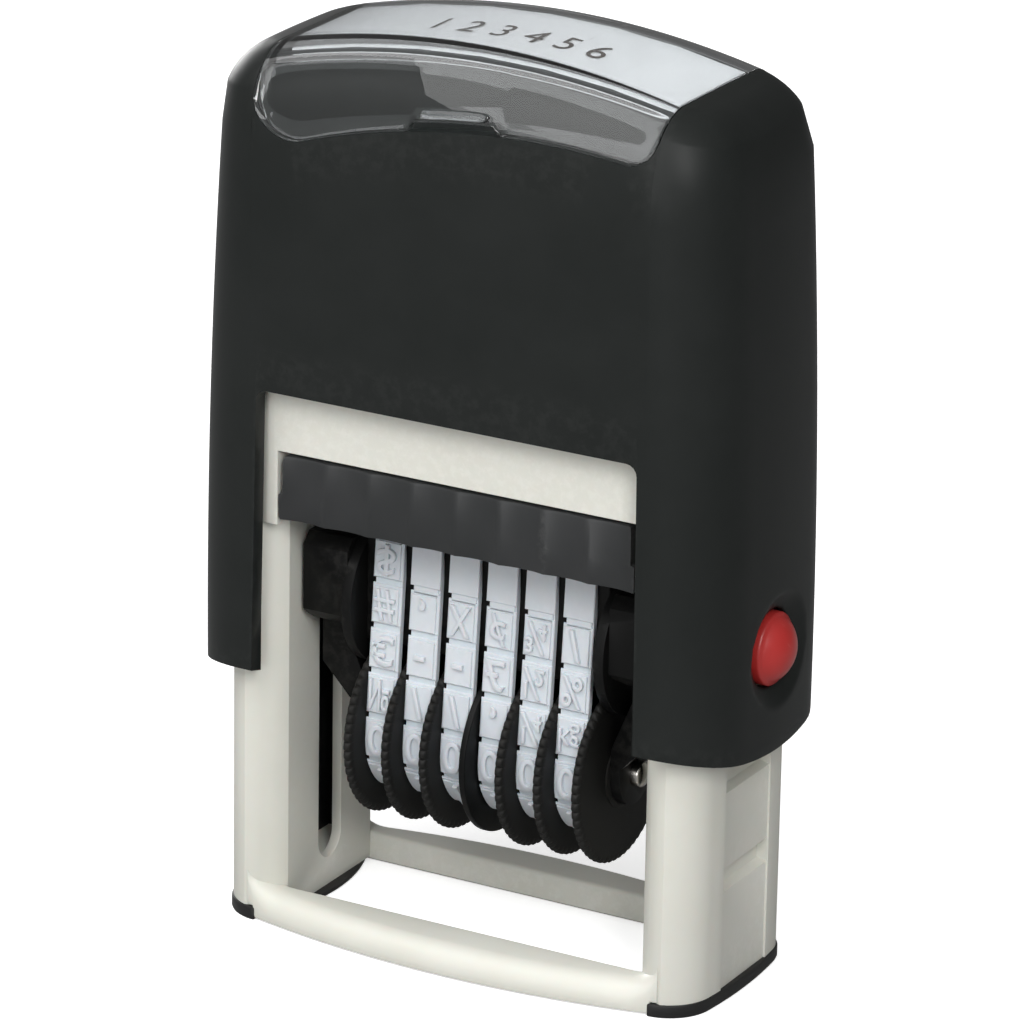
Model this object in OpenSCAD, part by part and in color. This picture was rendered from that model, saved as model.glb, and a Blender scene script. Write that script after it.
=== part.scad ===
// Self-inking numbering machine with six number bands.
// A cap slides down over a hollow two-column frame. Its inner slider carries the
// number unit on a pivot, and a crank pin in a track turns the unit half a turn
// between the ink pad above and the paper below.
// Millimetres. X runs along the row of bands, -Y is the front, +Z is up.
// The origin is at the centre of the resting face.

/* [Frame] */
// Clear width between the two columns
opening_w = 41.8; // [41:0.1:43]
// Depth of the flat inner face of a column
inner_face_d = 16.8; // [16.4:0.1:17.4]
// Width of a column at its middle
column_w = 7.3; // [7.1:0.1:7.8]
// Play between the columns and the walls of the cap, at front and back
cap_play = 0.65; // [0.5:0.05:0.8]
// Radius of a column's outer corners
column_corner_r = 5; // [4:0.1:5.5]
// Radius of the bow of a column's outer end
column_bow_r = 60; // [45:1:90]
// Height at which the columns step in to the upper housing
column_top = 44; // [43.8:0.1:44.2]
// Width of the upper housing
housing_w = 54.4; // [54:0.1:54.6]
// How far the front of the housing stands back from the columns
housing_step = 0.3; // [0.2:0.05:0.4]
// Height of the top of the housing
housing_top = 62; // [61:0.1:62.3]
// Radius of the housing's upright corners
housing_corner_r = 6; // [5.5:0.1:6.5]
// Thickness of the wall between the opening and a column's hollow
inner_wall = 1.1; // [1:0.05:1.2]
// Width of a column's hollow
hollow_w = 3.6; // [3.5:0.1:3.8]
// Depth of a column's hollow
hollow_d = 15.2; // [14.6:0.1:16]
// Height of the floor of a column's hollow
hollow_floor = 3.6; // [3:0.1:4]
// Wall left round the pockets that lighten the housing
pocket_wall = 1.6; // [1.4:0.1:2]
// Width of the ledges that the cartridge slides on
ledge_w = 1.2; // [1:0.1:1.5]
// Thickness of the ledges below the top of the columns
ledge_t = 0.6; // [0.4:0.1:1]

/* [Bars and feet] */
// Thickness of a foot plate
foot_t = 1.4; // [1.2:0.1:2]
// Thickness of the tongue of a foot plate under the inner face of its column
tongue_t = 0.5; // [0.4:0.1:0.8]
// How far a foot plate stands out past its column
foot_lip = 0.15; // [0.05:0.05:0.3]
// How far a foot plate reaches in under the opening
foot_reach = 1.1; // [0.5:0.1:1.4]
// Radius of the bowed inner edge of a foot plate, seen from above
foot_bow_r = 23; // [20:1:30]
// Diameter of the two pegs that hold a foot plate
foot_peg_d = 2.4; // [2:0.1:2.8]
// Length of the pegs
foot_peg_h = 3; // [2:0.1:4]
// Height of the underside of the cross bars
bar_bottom = 0.15; // [0.1:0.05:0.5]
// Height of the top of the cross bars
bar_top = 3.3; // [3:0.1:3.6]
// How far the cross bars bow out at their middle
bar_bow = 2.7; // [2:0.1:3]
// Radius of the outer top edge of the cross bars
bar_round_r = 2.4; // [2:0.1:2.6]

/* [Stroke] */
// How far the cap is pressed down
travel = 24; // [23.6:0.1:24.2]
// Distance from the pivot to the printing face
face_reach = 11; // [10.8:0.1:11.1]
// Distance from the pivot to the wheel axle
axle_drop = 14.25; // [14:0.05:14.5]
// Diameter of the pivot stubs
pivot_d = 4; // [3.6:0.1:4.2]
// Radius at which the crank pins run
crank_r = 5; // [4.6:0.1:5.2]
// Diameter of the crank pins
crank_pin_d = 1.8; // [1.5:0.1:2]
// Depth of the track that turns the number unit
track_depth = 0.6; // [0.5:0.05:0.6]

/* [Ink pad] */
// Width of the pad cartridge
cartridge_w = 40.8; // [40.4:0.1:41]
// How far the front of the cartridge stands back from the columns
cartridge_step = 0.1; // [0:0.05:0.3]
// Height of the lower edge of the cartridge
cartridge_bottom = 44.7; // [44.6:0.1:44.9]
// Height of the cartridge itself
cartridge_h = 7; // [6.8:0.1:7.1]
// Height of the slightly wider lower part of the ink cartridge
cartridge_base_h = 2.8; // [2:0.1:4]
// Wall of the cartridge
cartridge_wall = 1.6; // [1.2:0.1:2]
// Number of hollow flutes along the front of the cartridge
flute_count = 8; // [6:1:9]
// Depth of the flutes
flute_depth = 0.35; // [0.2:0.05:0.5]
// Gap between the printing face and the pad
pad_gap = 0.3; // [0.2:0.05:0.4]

/* [Number unit] */
// Distance from one band to the next
band_pitch = 4.43; // [4.35:0.01:4.5]
// Width of a band
band_w = 3.2; // [3:0.05:3.3]
// Thickness of the backing of a band
band_t = 0.7; // [0.6:0.05:0.8]
// Height of the blocks on a band
block_h = 0.75; // [0.5:0.05:0.8]
// Gap between two blocks on a band
block_gap = 0.55; // [0.4:0.05:0.8]
// Number of blocks on the straight run of a band, from the print to the axle
block_count = 5; // [4:1:6]
// Radius at which a band runs round its wheel
band_bend_r = 5.85; // [5.75:0.05:6.1]
// Half depth of the bar that the bands print over
platen_half_d = 4.4; // [4:0.1:4.6]
// Radius of the upper edges of that bar
platen_round_r = 1.8; // [1:0.1:2.2]
// Diameter of a thumb wheel
wheel_d = 19.6; // [19:0.1:19.8]
// Thickness of the knurled rim of a thumb wheel
wheel_t = 1; // [0.8:0.05:1]
// Number of knurls round a thumb wheel
knurl_count = 60; // [40:1:64]
// Depth of the knurls
knurl_depth = 0.35; // [0.2:0.05:0.5]
// Diameter of the drum inside a band
drum_d = 11.2; // [10.8:0.1:11.4]
// Diameter of the steel wheel axle
axle_d = 2.8; // [2.4:0.1:3]
// Length of the wheel axle
axle_l = 32.4; // [31.8:0.1:33]
// Diameter of the smooth disc between the two groups of wheels
divider_d = 18.4; // [17:0.1:19]
// Thickness of that disc
divider_t = 0.7; // [0.5:0.05:0.8]

/* [Carrier arms] */
// Depth of the block at the head of an arm
arm_head_d = 13; // [12:0.1:13.4]
// Height of the underside of the head block
arm_head_bottom = 32.4; // [31.5:0.1:33]
// Height of the top of the head block
arm_head_top = 41.8; // [41:0.1:42.4]
// Depth of an arm below its head
arm_d = 7; // [6.6:0.1:8]
// Chamfer of the head block
arm_chamfer = 2; // [1:0.1:2.5]
// Thickness of an arm below its head
arm_t = 3.2; // [3:0.1:3.6]
// How far an arm stands back from the outer face of its head
arm_step = 0.6; // [0.4:0.1:0.8]
// Height at which an arm starts to bend in to the wheels
arm_bend_z = 27; // [26:0.1:28]
// Diameter of the round cheek between an arm's head and the bands
cheek_d = 15.4; // [14:0.1:16]
// Thickness of the cheek
cheek_t = 1.1; // [0.9:0.05:1.3]
// Diameter of the tenons that join the arms to the bar between them
tenon_d = 3; // [2.6:0.1:3.4]
// Length of the tenons
tenon_l = 2; // [1.5:0.1:3]
// Thickness of an arm at the wheel axle
arm_eye_t = 1.1; // [0.9:0.05:1.3]
// Diameter of an arm's eye round the wheel axle
arm_eye_d = 6.8; // [6:0.1:7.2]

/* [Cap] */
// Width of the cap at its widest
cap_w = 62.4; // [62.2:0.1:63]
// Depth of the cap at its lower edge
cap_d = 27.9; // [27.6:0.1:28.4]
// How far front and back lean in towards the top
cap_lean = 0.4; // [0:0.1:0.6]
// Height of the lower edge of the cap at the front
cap_bottom = 28.8; // [28.6:0.1:29.4]
// How far the ends of the cap reach below that edge
cap_skirt_drop = 2; // [0.5:0.1:2.2]
// Height of the crown of the cap
cap_top = 96.8; // [96.2:0.1:98]
// Wall of the cap
cap_wall = 1.8; // [1.6:0.05:1.85]
// Thickness of the roof of the cap
roof_t = 3.4; // [3:0.1:3.8]
// Radius of the arched crown
crown_r = 92; // [84:1:100]
// Radius of the shoulders at the two ends
shoulder_r = 5; // [4:0.5:6.5]
// Radius of the shoulders at front and back
brow_r = 6.5; // [5:0.5:7.5]
// Radius of the cap's upright corners
cap_corner_r = 8; // [7.6:0.1:8.4]
// Radius of the bow of the cap's ends
cap_bow_r = 60; // [45:1:90]
// Width of the window at front and back
window_w = 43.4; // [43:0.1:43.8]
// Height of the top of the window
window_top = 59.1; // [57:0.1:59.5]
// Radius of the window's upper corners
window_round_r = 1.2; // [0.5:0.1:2]

/* [Index window] */
// Width of the clear index window
index_w = 44.8; // [43:0.1:46]
// Thickness of the clear index window
index_t = 1.2; // [1:0.05:1.3]
// Height of the highest point of the lower edge of its flaps
index_edge_z = 89.9; // [89:0.1:90.5]
// Place of that point along the edge
index_edge_x = 9; // [0:0.5:10]
// Radius of the arc of that edge
index_edge_r = 83; // [78:1:90]
// Radius of the left lower corner of the flaps
index_corner_left_r = 4.5; // [3:0.5:5]
// Radius of the right lower corner of the flaps
index_corner_right_r = 2.5; // [1.5:0.5:5]
// Width of the index card
card_w = 43; // [41:0.1:43.4]
// Depth of the index card
card_d = 14; // [12:0.1:14.4]
// Thickness of the index card
card_t = 0.3; // [0.2:0.05:0.4]

/* [Lock buttons] */
// Diameter of a lock button
button_d = 7.6; // [7:0.1:8]
// Height of the lock buttons
button_z = 37.3; // [37:0.1:37.6]
// How far the dome of a button stands out from the cap
button_dome = 1.3; // [0.8:0.1:1.8]
// How far a button is pressed in
button_travel = 1.1; // [1:0.05:1.15]
// Width of the bolt behind a button
bolt_w = 8.8; // [8.4:0.1:9]
// Height of the bolt behind a button
bolt_h = 1.7; // [1.4:0.1:1.8]
// Diameter of the thumb dish round a button
dish_d = 11.6; // [10:0.1:12.5]
// Depth of the thumb dish
dish_depth = 1.1; // [0.8:0.1:1.2]
// Height of the notch for the half-pressed cap
notch_mid_z = 24; // [23:0.1:25]
// Width of the flat panel that holds the notches
panel_w = 9.7; // [9.4:0.1:10]
// Depth of the panel below the bow of the column's end
panel_depth = 0.4; // [0.35:0.05:0.45]
// Height of a notch
notch_h = 2.6; // [2.5:0.1:2.8]
// Rise of a notch's lower edge towards its floor
notch_ramp = 0.3; // [0.1:0.05:0.35]
// Depth of a notch below the panel
notch_depth = 1.1; // [1.05:0.05:1.15]

/* [Inner slider] */
// Depth of a prong of the inner slider
prong_d = 9; // [8.6:0.1:9.6]
// Height of the underside of the slider's cross beam
beam_bottom = 86.6; // [86.4:0.1:86.8]
// Thickness of the cross beam
beam_t = 2.4; // [2:0.1:2.6]
// Distance between the two pegs that hold the slider in the cap
slider_peg_span = 30; // [26:0.5:34]
// Diameter of those pegs
slider_peg_d = 3; // [2.5:0.1:3.5]
// Length of those pegs
slider_peg_l = 2; // [1.5:0.1:2.5]
// Wall of the boss round a peg
slider_boss_wall = 1.6; // [1.2:0.1:2]
// Height of the boss that centres the spring
spring_boss_h = 2.5; // [2:0.1:3]

/* [Spring] */
// Mean diameter of the main spring
spring_d = 10; // [9:0.1:10.6]
// Diameter of its wire
wire_d = 0.9; // [0.7:0.05:1]
// Number of its turns
spring_turns = 7; // [5:1:8]
// Height of the floor that the spring stands on
spring_seat = 54; // [53.5:0.1:54.5]
// Diameter of the well round the spring
spring_well_d = 13; // [12.6:0.1:14]

/* [Fits] */
// Clearance round parts that slide or swing past each other
gap = 0.3; // [0.25:0.01:0.32]
// Radial clearance of a running fit
fit = 0.05; // [0.02:0.01:0.08]

/* [Hidden] */

$fn = 48;
far = 200;               // longer than any part of the machine
tiny = 0.01;             // overlap that joins two solids of one piece
root = 0.4;              // how far a boss, rib or peg runs into the piece it stands on
seat_play = 0.1;         // room round the index window and its card in their seat
window_splay = 0.75;     // how much wider the front window would be at the resting face
band_count = 6;
dir = [-1, 1];           // left and right, or front and back

// Heights along the stroke
pivot_z = travel + face_reach;
print_z = pivot_z + face_reach;
axle_z = pivot_z - axle_drop;
pad_z = print_z + pad_gap;

// Stations along X of a column, from the opening outwards
inner_x = opening_w / 2;
hollow_x0 = inner_x + inner_wall;
hollow_x1 = hollow_x0 + hollow_w;
column_x = inner_x + column_w;
panel_x = column_x - panel_depth;
track_x = hollow_x1 + track_depth;
slot_w = pivot_d + 2 * gap;
prong_x0 = hollow_x0 + gap;
crank_t = 1;
crank_x1 = hollow_x1 - gap;
crank_x0 = crank_x1 - crank_t;
prong_x1 = crank_x0 - gap;
column_d = cap_d - 2 * cap_wall - 2 * cap_play;
housing_d = column_d - 2 * housing_step;
cartridge_d = column_d - 2 * cartridge_step;
nose_r = (column_d - inner_face_d) / 2;

// Cap
cap_form_z = 24;         // below the lowest edge of the cap
cap_side_r = 780;        // radius of the slight swelling of the ends
cap_widest_z = 36;
cap_wall_z = [cap_form_z, cap_widest_z, 50, 64, 77];
cap_inner_x = cap_w / 2 - cap_wall;
boss_top = crown_z(slider_peg_span / 2) - roof_t + root;

// Number unit
unit_half_w = (band_count * band_pitch + wheel_t) / 2;
print_core_z = print_z - band_t - block_h;
arm_eye_x = unit_half_w + gap;
head_x0 = arm_eye_x + cheek_t;
arm_outer_x = inner_x - gap - root / 2;
arm_shank_x1 = arm_outer_x - arm_step;
arm_shank_x0 = arm_shank_x1 - arm_t;
tenon_z = arm_head_top - tenon_d;

cream = [0.84, 0.84, 0.80];
cap_black = [0.09, 0.09, 0.095];
part_black = [0.05, 0.05, 0.055];
band_grey = [0.78, 0.81, 0.85];
steel = [0.72, 0.72, 0.70];
red = [0.78, 0.07, 0.07];

// ---- helpers ---------------------------------------------------------------

function arc(c, r, a0, a1, n) = [for (i = [0:n]) let (a = a0 + (a1 - a0) * i / n)
    [c[0] + r * cos(a), c[1] + r * sin(a)]];

// A shape drawn in the Y-Z plane, extruded along X from x0 to x1
module along_x(x0, x1) {
    translate([x0, 0, 0]) rotate([90, 0, 90]) linear_extrude(x1 - x0) children();
}

// A shape drawn in the X-Z plane, extruded along Y from y0 to y1
module along_y(y0, y1) {
    translate([0, y1, 0]) rotate([90, 0, 0]) linear_extrude(y1 - y0) children();
}

// A box given by its lowest and highest corners
module block(low, high) {
    translate(low) cube(high - low);
}

module rod_x(x0, x1, r, y = 0, z = 0) {
    translate([x0, y, z]) rotate([0, 90, 0]) cylinder(r = r, h = x1 - x0);
}

// Draws the right-hand piece, or its mirror image for side = -1
module on_side(side) {
    if (side > 0) children();
    else mirror([1, 0, 0]) children();
}

module rounded_rect(w, d, r) {
    union() {
        square([w - 2 * r, d], center = true);
        square([w, d - 2 * r], center = true);
        for (sx = dir, sy = dir) translate([sx * (w / 2 - r), sy * (d / 2 - r)]) circle(r);
    }
}

// The area between two equal arcs that bulge outwards, w apart at y = 0
module lens(w, r) {
    intersection() {
        translate([r - w / 2, 0]) circle(r, $fn = 360);
        translate([w / 2 - r, 0]) circle(r, $fn = 360);
    }
}

module round_corners(r) {
    offset(r = r) offset(delta = -r) children();
}

// A plan outline with flat front and back, bowed ends and rounded corners
module bowed_outline(w, d, corner_r, bow_r) {
    round_corners(corner_r) intersection() {
        square([w, d], center = true);
        lens(w, bow_r);
    }
}

// ---- frame -----------------------------------------------------------------

// Plan of the right-hand column, from its inner face to its bowed outer end
module column_plan(grow = 0) {
    intersection() {
        bowed_outline(2 * (column_x + grow), column_d + 2 * grow, column_corner_r, column_bow_r);
        union() {
            translate([inner_x, -inner_face_d / 2]) square([far, inner_face_d]);
            translate([inner_x + nose_r, -far / 2]) square([far, far]);
            for (s = dir) translate([inner_x + nose_r, s * inner_face_d / 2]) circle(nose_r + grow);
        }
    }
}

// The path of a crank pin past the frame while the unit turns from 0 to 180 degrees
function track_point(a) = [-crank_r * sin(a), pivot_z - travel * a / 180 + crank_r * cos(a)];
function track_slope(a) = [-crank_r * cos(a), -travel / PI - crank_r * sin(a)];
function track_side(a, w) = let (t = track_slope(a))
    track_point(a) + w * [-t[1], t[0]] / norm(t);

module track_outline() {
    w = crank_pin_d / 2 + gap;
    steps = [0:9:180];
    polygon([for (a = steps) track_side(a, w), for (a = steps) track_side(180 - a, -w)]);
    for (a = [0, 180]) translate(track_point(a)) circle(w);
}

module lock_notch(z) {
    along_y(-panel_w / 2, panel_w / 2) polygon([
        [panel_x - notch_depth, z - notch_h / 2 + notch_ramp],
        [panel_x - notch_depth, z + notch_h / 2],
        [far, z + notch_h / 2],
        [far, z - notch_h / 2],
        [panel_x, z - notch_h / 2]]);
}

module column(side) {
    on_side(side) difference() {
        union() {
            translate([0, 0, foot_t]) linear_extrude(column_top - foot_t) column_plan();
            block([inner_x, -inner_face_d / 2, tongue_t],
                  [hollow_x0, inner_face_d / 2, foot_t + tiny]);
            block([inner_x - ledge_w, -inner_face_d / 2, column_top - ledge_t],
                  [inner_x + tiny, inner_face_d / 2, cartridge_bottom - 2 * fit]);
        }
        block([hollow_x0, -hollow_d / 2, hollow_floor], [hollow_x1, hollow_d / 2, far]);
        block([inner_x - 2 * root, -slot_w / 2, hollow_floor + slot_w / 2],
              [hollow_x0 + root, slot_w / 2, far]);
        rod_x(inner_x - 2 * root, hollow_x0 + root, slot_w / 2, 0, hollow_floor + slot_w / 2);
        along_x(hollow_x1 - tiny, track_x) track_outline();
        block([panel_x, -panel_w / 2, 0], [far, panel_w / 2, far]);
        for (z = [button_z - travel, notch_mid_z, button_z]) lock_notch(z);
    }
}

function peg_x() = inner_x + column_w / 2;
function peg_y() = (hollow_d + column_d) / 4;

// A cross bar bowed outwards between the feet of the columns
module cross_bar(side) {
    half = inner_x + nose_r;
    bow_r = (half * half + bar_bow * bar_bow) / (2 * bar_bow);
    inner_r = bow_r - bar_bow - nose_r - root;
    end_a = asin((half + nose_r) / bow_r);
    mirror([0, side > 0 ? 1 : 0, 0]) intersection() {
        translate([0, bow_r - column_d / 2 - bar_bow, 0]) rotate([0, 0, -90 - end_a])
            rotate_extrude(angle = 2 * end_a, $fn = 360) polygon(concat(
                [[inner_r, bar_bottom], [bow_r - root, bar_bottom]],
                arc([bow_r - bar_round_r, bar_top - bar_round_r], bar_round_r, 0, 90, 8),
                [[inner_r, bar_top]]));
        block([-half, -far, 0], [half, -inner_face_d / 2, far]);
    }
}

module housing() {
    bay_top = cartridge_bottom + cartridge_h + gap;
    bay_x = cartridge_w / 2 + gap;
    pocket_x0 = spring_well_d / 2 + pocket_wall;
    pocket_x1 = inner_x - root;
    difference() {
        translate([0, 0, column_top]) linear_extrude(housing_top - column_top)
            rounded_rect(housing_w, housing_d, housing_corner_r);
        block([-bay_x, -far, 0], [bay_x, far, bay_top]);
        for (s = dir) on_side(s)
            block([hollow_x0, -hollow_d / 2, 0], [hollow_x1, hollow_d / 2, far]);
        translate([0, 0, spring_seat]) cylinder(r = spring_well_d / 2, h = far);
        for (s = dir) on_side(s)
            block([pocket_x0, -housing_d / 2 + pocket_wall, bay_top + pocket_wall],
                  [pocket_x1, housing_d / 2 - pocket_wall, far]);
    }
}

module base_frame() {
    color(cream) difference() {
        union() {
            column(-1);
            column(1);
            cross_bar(-1);
            cross_bar(1);
            housing();
        }
        for (sx = dir, sy = dir) translate([sx * peg_x(), sy * peg_y(), 0])
            cylinder(r = foot_peg_d / 2 + fit, h = foot_t + foot_peg_h + fit);
    }
}

// The plate covers its column, and its bowed inner edge lies between the ends of the cross bars
module foot_plan() {
    difference() {
        intersection() {
            bowed_outline(2 * (column_x + foot_lip), column_d + 2 * foot_lip,
                          column_corner_r, column_bow_r);
            translate([inner_x - foot_reach + foot_bow_r, 0]) circle(foot_bow_r, $fn = 180);
        }
        for (s = dir) mirror([0, s > 0 ? 0 : 1]) translate([0, inner_face_d / 2])
            square([inner_x + nose_r + tiny, far]);
    }
}

module foot(side) {
    color(part_black) on_side(side) union() {
        linear_extrude(tongue_t) foot_plan();
        linear_extrude(foot_t) intersection() {
            foot_plan();
            translate([hollow_x0 + fit, -far / 2]) square([far, far]);
        }
        for (s = dir) translate([peg_x(), s * peg_y(), foot_t - tiny])
            cylinder(r = foot_peg_d / 2, h = foot_peg_h);
    }
}

// ---- ink pad ---------------------------------------------------------------

module ink_cartridge() {
    half_w = cartridge_w / 2;
    half_d = cartridge_d / 2;
    top = cartridge_bottom + cartridge_h;
    step_z = cartridge_bottom + cartridge_base_h;
    pad_x = half_w - 2 * cartridge_wall;
    flute_pitch = cartridge_w / flute_count;
    flute_r = (flute_pitch * flute_pitch / 4 + flute_depth * flute_depth) / (2 * flute_depth);
    color(part_black) difference() {
        union() {
            block([-half_w, -half_d, cartridge_bottom], [half_w, half_d, step_z]);
            block([-half_w + root, -half_d, step_z - tiny], [half_w - root, half_d, top]);
        }
        block([-pad_x, -half_d + cartridge_wall, 0],
              [pad_x, half_d - cartridge_wall, top - cartridge_wall]);
        // Lets the cartridge slide out to the front over the printing face
        block([-pad_x, 0, 0], [pad_x, far, pad_z]);
        for (sy = dir, i = [0:flute_count - 1])
            translate([-half_w + (i + 0.5) * flute_pitch, sy * (half_d - flute_depth + flute_r), 0])
                cylinder(r = flute_r, h = far, $fn = 96);
    }
}

module ink_pad() {
    x = cartridge_w / 2 - 2 * cartridge_wall;
    y = cartridge_d / 2 - cartridge_wall;
    color([0.12, 0.10, 0.16])
        block([-x, -y, pad_z], [x, y, cartridge_bottom + cartridge_h - cartridge_wall]);
}

// ---- cap -------------------------------------------------------------------

// Half width and half depth of the cap at height z, and the height of its crown at x
function cap_half_w(z) = cap_w / 2 - pow(z - cap_widest_z, 2) / (2 * cap_side_r);
function cap_half_d(z) = cap_d / 2 - cap_lean * (z - cap_bottom) / (cap_top - cap_bottom);
function crown_z(x) = cap_top - x * x / (2 * crown_r);

// Front half of the plan outline, from left to right, as [x, y, normal x, normal y]
function half_outline(half_w, half_d, r) = let (
        bow = pow(half_d - r, 2) / (2 * cap_bow_r),
        cx = half_w - bow - r,
        cy = r - half_d)
    concat([[-half_w, 0, -1, 0]],
           [for (a = [180:15:270]) [-cx + r * cos(a), cy + r * sin(a), cos(a), sin(a)]],
           [for (i = [-2:2]) [cx * i / 3, -half_d, 0, -1]],
           [for (a = [270:15:360]) [cx + r * cos(a), cy + r * sin(a), cos(a), sin(a)]],
           [[half_w, 0, 1, 0]]);

function wall_row(z, inset) = [for (p = half_outline(cap_half_w(z) - inset,
                                                     cap_half_d(z) - inset, cap_corner_r - inset))
    [p[0], p[1], z]];

// A row of the rounded upper edge, a degrees up from the wall
function brow_row(a, inset) = let (
        z = crown_z(cap_w / 2) - shoulder_r,
        outline = half_outline(cap_half_w(z) - inset, cap_half_d(z) - inset, cap_corner_r - inset),
        in_x = (shoulder_r - inset) * (1 - cos(a)),
        in_y = (brow_r - inset) * (1 - cos(a)))
    [for (p = outline) let (x = p[0] - in_x * p[2], y = p[1] - in_y * p[3],
                            r = brow_r * p[3] * p[3] + shoulder_r * p[2] * p[2] - inset)
        [x, y, crown_z(x) - inset - r * (1 - sin(a))]];

// The cap's outer form, or the same form inset all round
module cap_form(inset = 0) {
    halves = concat([for (z = cap_wall_z) wall_row(z, inset)],
                    [for (a = [0:18:90]) brow_row(a, inset)]);
    m = len(halves[0]);
    n = 2 * m - 2;
    rows = [for (h = halves) concat(h, [for (i = [m - 2:-1:1]) [h[i][0], -h[i][1], h[i][2]]])];
    last = len(rows) - 1;
    polyhedron(points = [for (row = rows, p = row) p], faces = concat(
        [[for (i = [0:n - 1]) i]],
        [for (k = [0:last - 1], i = [0:n - 1]) let (j = (i + 1) % n)
            [k * n + j, k * n + i, (k + 1) * n + i, (k + 1) * n + j]],
        [for (i = [0:m - 2]) let (front = last * n + i, rear = last * n + (n - i) % n)
            i == 0 ? [front + 1, front, rear - 1 + (rear == front ? n : 0)] :
            i == m - 2 ? [front + 1, front, rear] :
            [front + 1, front, rear, rear - 1]]));
}

// The arched lower edge of the cap, seen from the end
module skirt_profile() {
    r = (cap_d * cap_d / 4 + cap_skirt_drop * cap_skirt_drop) / (2 * cap_skirt_drop);
    translate([0, cap_bottom - cap_skirt_drop + r]) circle(r, $fn = 240);
    translate([-far / 2, cap_bottom]) square([far, far]);
}

module window_outline() {
    half = window_w / 2;
    hull() {
        for (s = dir) translate([s * (half - window_round_r), window_top - window_round_r])
            circle(window_round_r);
        translate([-half - window_splay, 0]) square([2 * (half + window_splay), tiny]);
    }
}

// Front view of the index window. Its lower edge is an arc that rises to the right.
module index_edge(corner_r) {
    round_corners(corner_r) difference() {
        translate([-index_w / 2, 0]) square([index_w, far]);
        translate([index_edge_x, index_edge_z - index_edge_r]) circle(index_edge_r, $fn = 180);
        translate([-index_w / 2, -tiny]) square([index_w, index_edge_z - index_edge_r + root]);
    }
}

module index_outline(grow) {
    offset(delta = grow) for (s = dir) intersection() {
        index_edge(s < 0 ? index_corner_left_r : index_corner_right_r);
        translate([s < 0 ? -index_w : -tiny, 0]) square([index_w, far]);
    }
}

function seat_depth() = index_t + card_t + seat_play;

module cap_shell() {
    boss_r = slider_peg_d / 2 + slider_boss_wall;
    color(cap_black) difference() {
        union() {
            difference() {
                intersection() {
                    cap_form();
                    along_x(-far / 4, far / 4) skirt_profile();
                }
                translate([0, 0, cap_wall - roof_t]) cap_form(cap_wall);
            }
            for (s = dir) translate([s * slider_peg_span / 2, 0, beam_bottom + beam_t])
                cylinder(r = boss_r, h = boss_top - beam_bottom - beam_t);
        }
        along_y(-far / 4, far / 4) window_outline();
        index_seat();
        for (s = dir) on_side(s) {
            rod_x(cap_inner_x - 2 * root, far / 4, button_d / 2 + gap, 0, button_z);
            translate([cap_w / 2 - dish_depth, 0, button_z]) rotate([0, 90, 0])
                cylinder(r1 = button_d / 2 + gap, r2 = dish_d / 2, h = dish_depth + tiny);
        }
        for (s = dir) translate([s * slider_peg_span / 2, 0, 0])
            cylinder(r = slider_peg_d / 2 + fit, h = beam_bottom + beam_t + slider_peg_l + fit);
    }
}

// The shallow seat in the crown that takes the index window and its card
module index_seat() {
    card_x = card_w / 2 + seat_play;
    card_y = card_d / 2 + seat_play;
    intersection() {
        along_y(-far / 4, far / 4) index_outline(seat_play);
        difference() {
            translate([0, 0, cap_bottom]) linear_extrude(far) square(far / 2, center = true);
            cap_form(index_t + seat_play);
        }
    }
    intersection() {
        block([-card_x, -card_y, 0], [card_x, card_y, far]);
        difference() {
            translate([0, 0, cap_bottom]) linear_extrude(far) square(far / 2, center = true);
            cap_form(seat_depth());
        }
    }
}

module index_window() {
    color([0.8, 0.85, 0.88, 0.4]) intersection() {
        along_y(-far / 4, far / 4) index_outline(0);
        difference() {
            cap_form();
            cap_form(index_t);
        }
    }
}

module index_card() {
    color([0.9, 0.9, 0.9]) intersection() {
        block([-card_w / 2, -card_d / 2, cap_bottom], [card_w / 2, card_d / 2, far]);
        difference() {
            cap_form(index_t + fit);
            cap_form(index_t + fit + card_t);
        }
    }
}

module inner_slider() {
    top = beam_bottom + beam_t;
    color(part_black) difference() {
        union() {
            block([-prong_x1, -prong_d / 2, beam_bottom], [prong_x1, prong_d / 2, top]);
            translate([0, 0, beam_bottom - spring_boss_h])
                cylinder(r = (spring_d - wire_d) / 2 - gap, h = spring_boss_h + tiny);
            for (s = dir) translate([s * slider_peg_span / 2, 0, top - tiny])
                cylinder(r = slider_peg_d / 2, h = slider_peg_l);
            for (s = dir) on_side(s) {
                block([prong_x0, -prong_d / 2, pivot_z], [prong_x1, prong_d / 2, top]);
                rod_x(prong_x0, prong_x1, prong_d / 2, 0, pivot_z);
            }
        }
        rod_x(-far, far, pivot_d / 2 + fit, 0, pivot_z);
    }
}

module lock_button(side) {
    rear_x = cap_inner_x - bolt_w * bolt_w / (8 * (cap_bow_r - cap_wall)) - 3 * fit;
    bolt_x = panel_x - notch_depth + gap + button_travel;
    dome_h = dish_depth + button_dome;
    r = button_d / 2;
    dome_r = (r * r + dome_h * dome_h) / (2 * dome_h);
    centre = cap_w / 2 + button_dome - dome_r;
    edge_a = asin(r / dome_r);
    color(red) on_side(side) union() {
        translate([0, 0, button_z]) rotate([0, 90, 0]) rotate_extrude() polygon(concat(
            [[0, rear_x - tiny], [r, rear_x - tiny]],
            arc([0, centre], dome_r, 90 - edge_a, 90, 10)));
        block([bolt_x, -bolt_w / 2, button_z - bolt_h / 2],
              [rear_x, bolt_w / 2, button_z + bolt_h / 2]);
    }
}

// ---- main spring -----------------------------------------------------------

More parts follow.
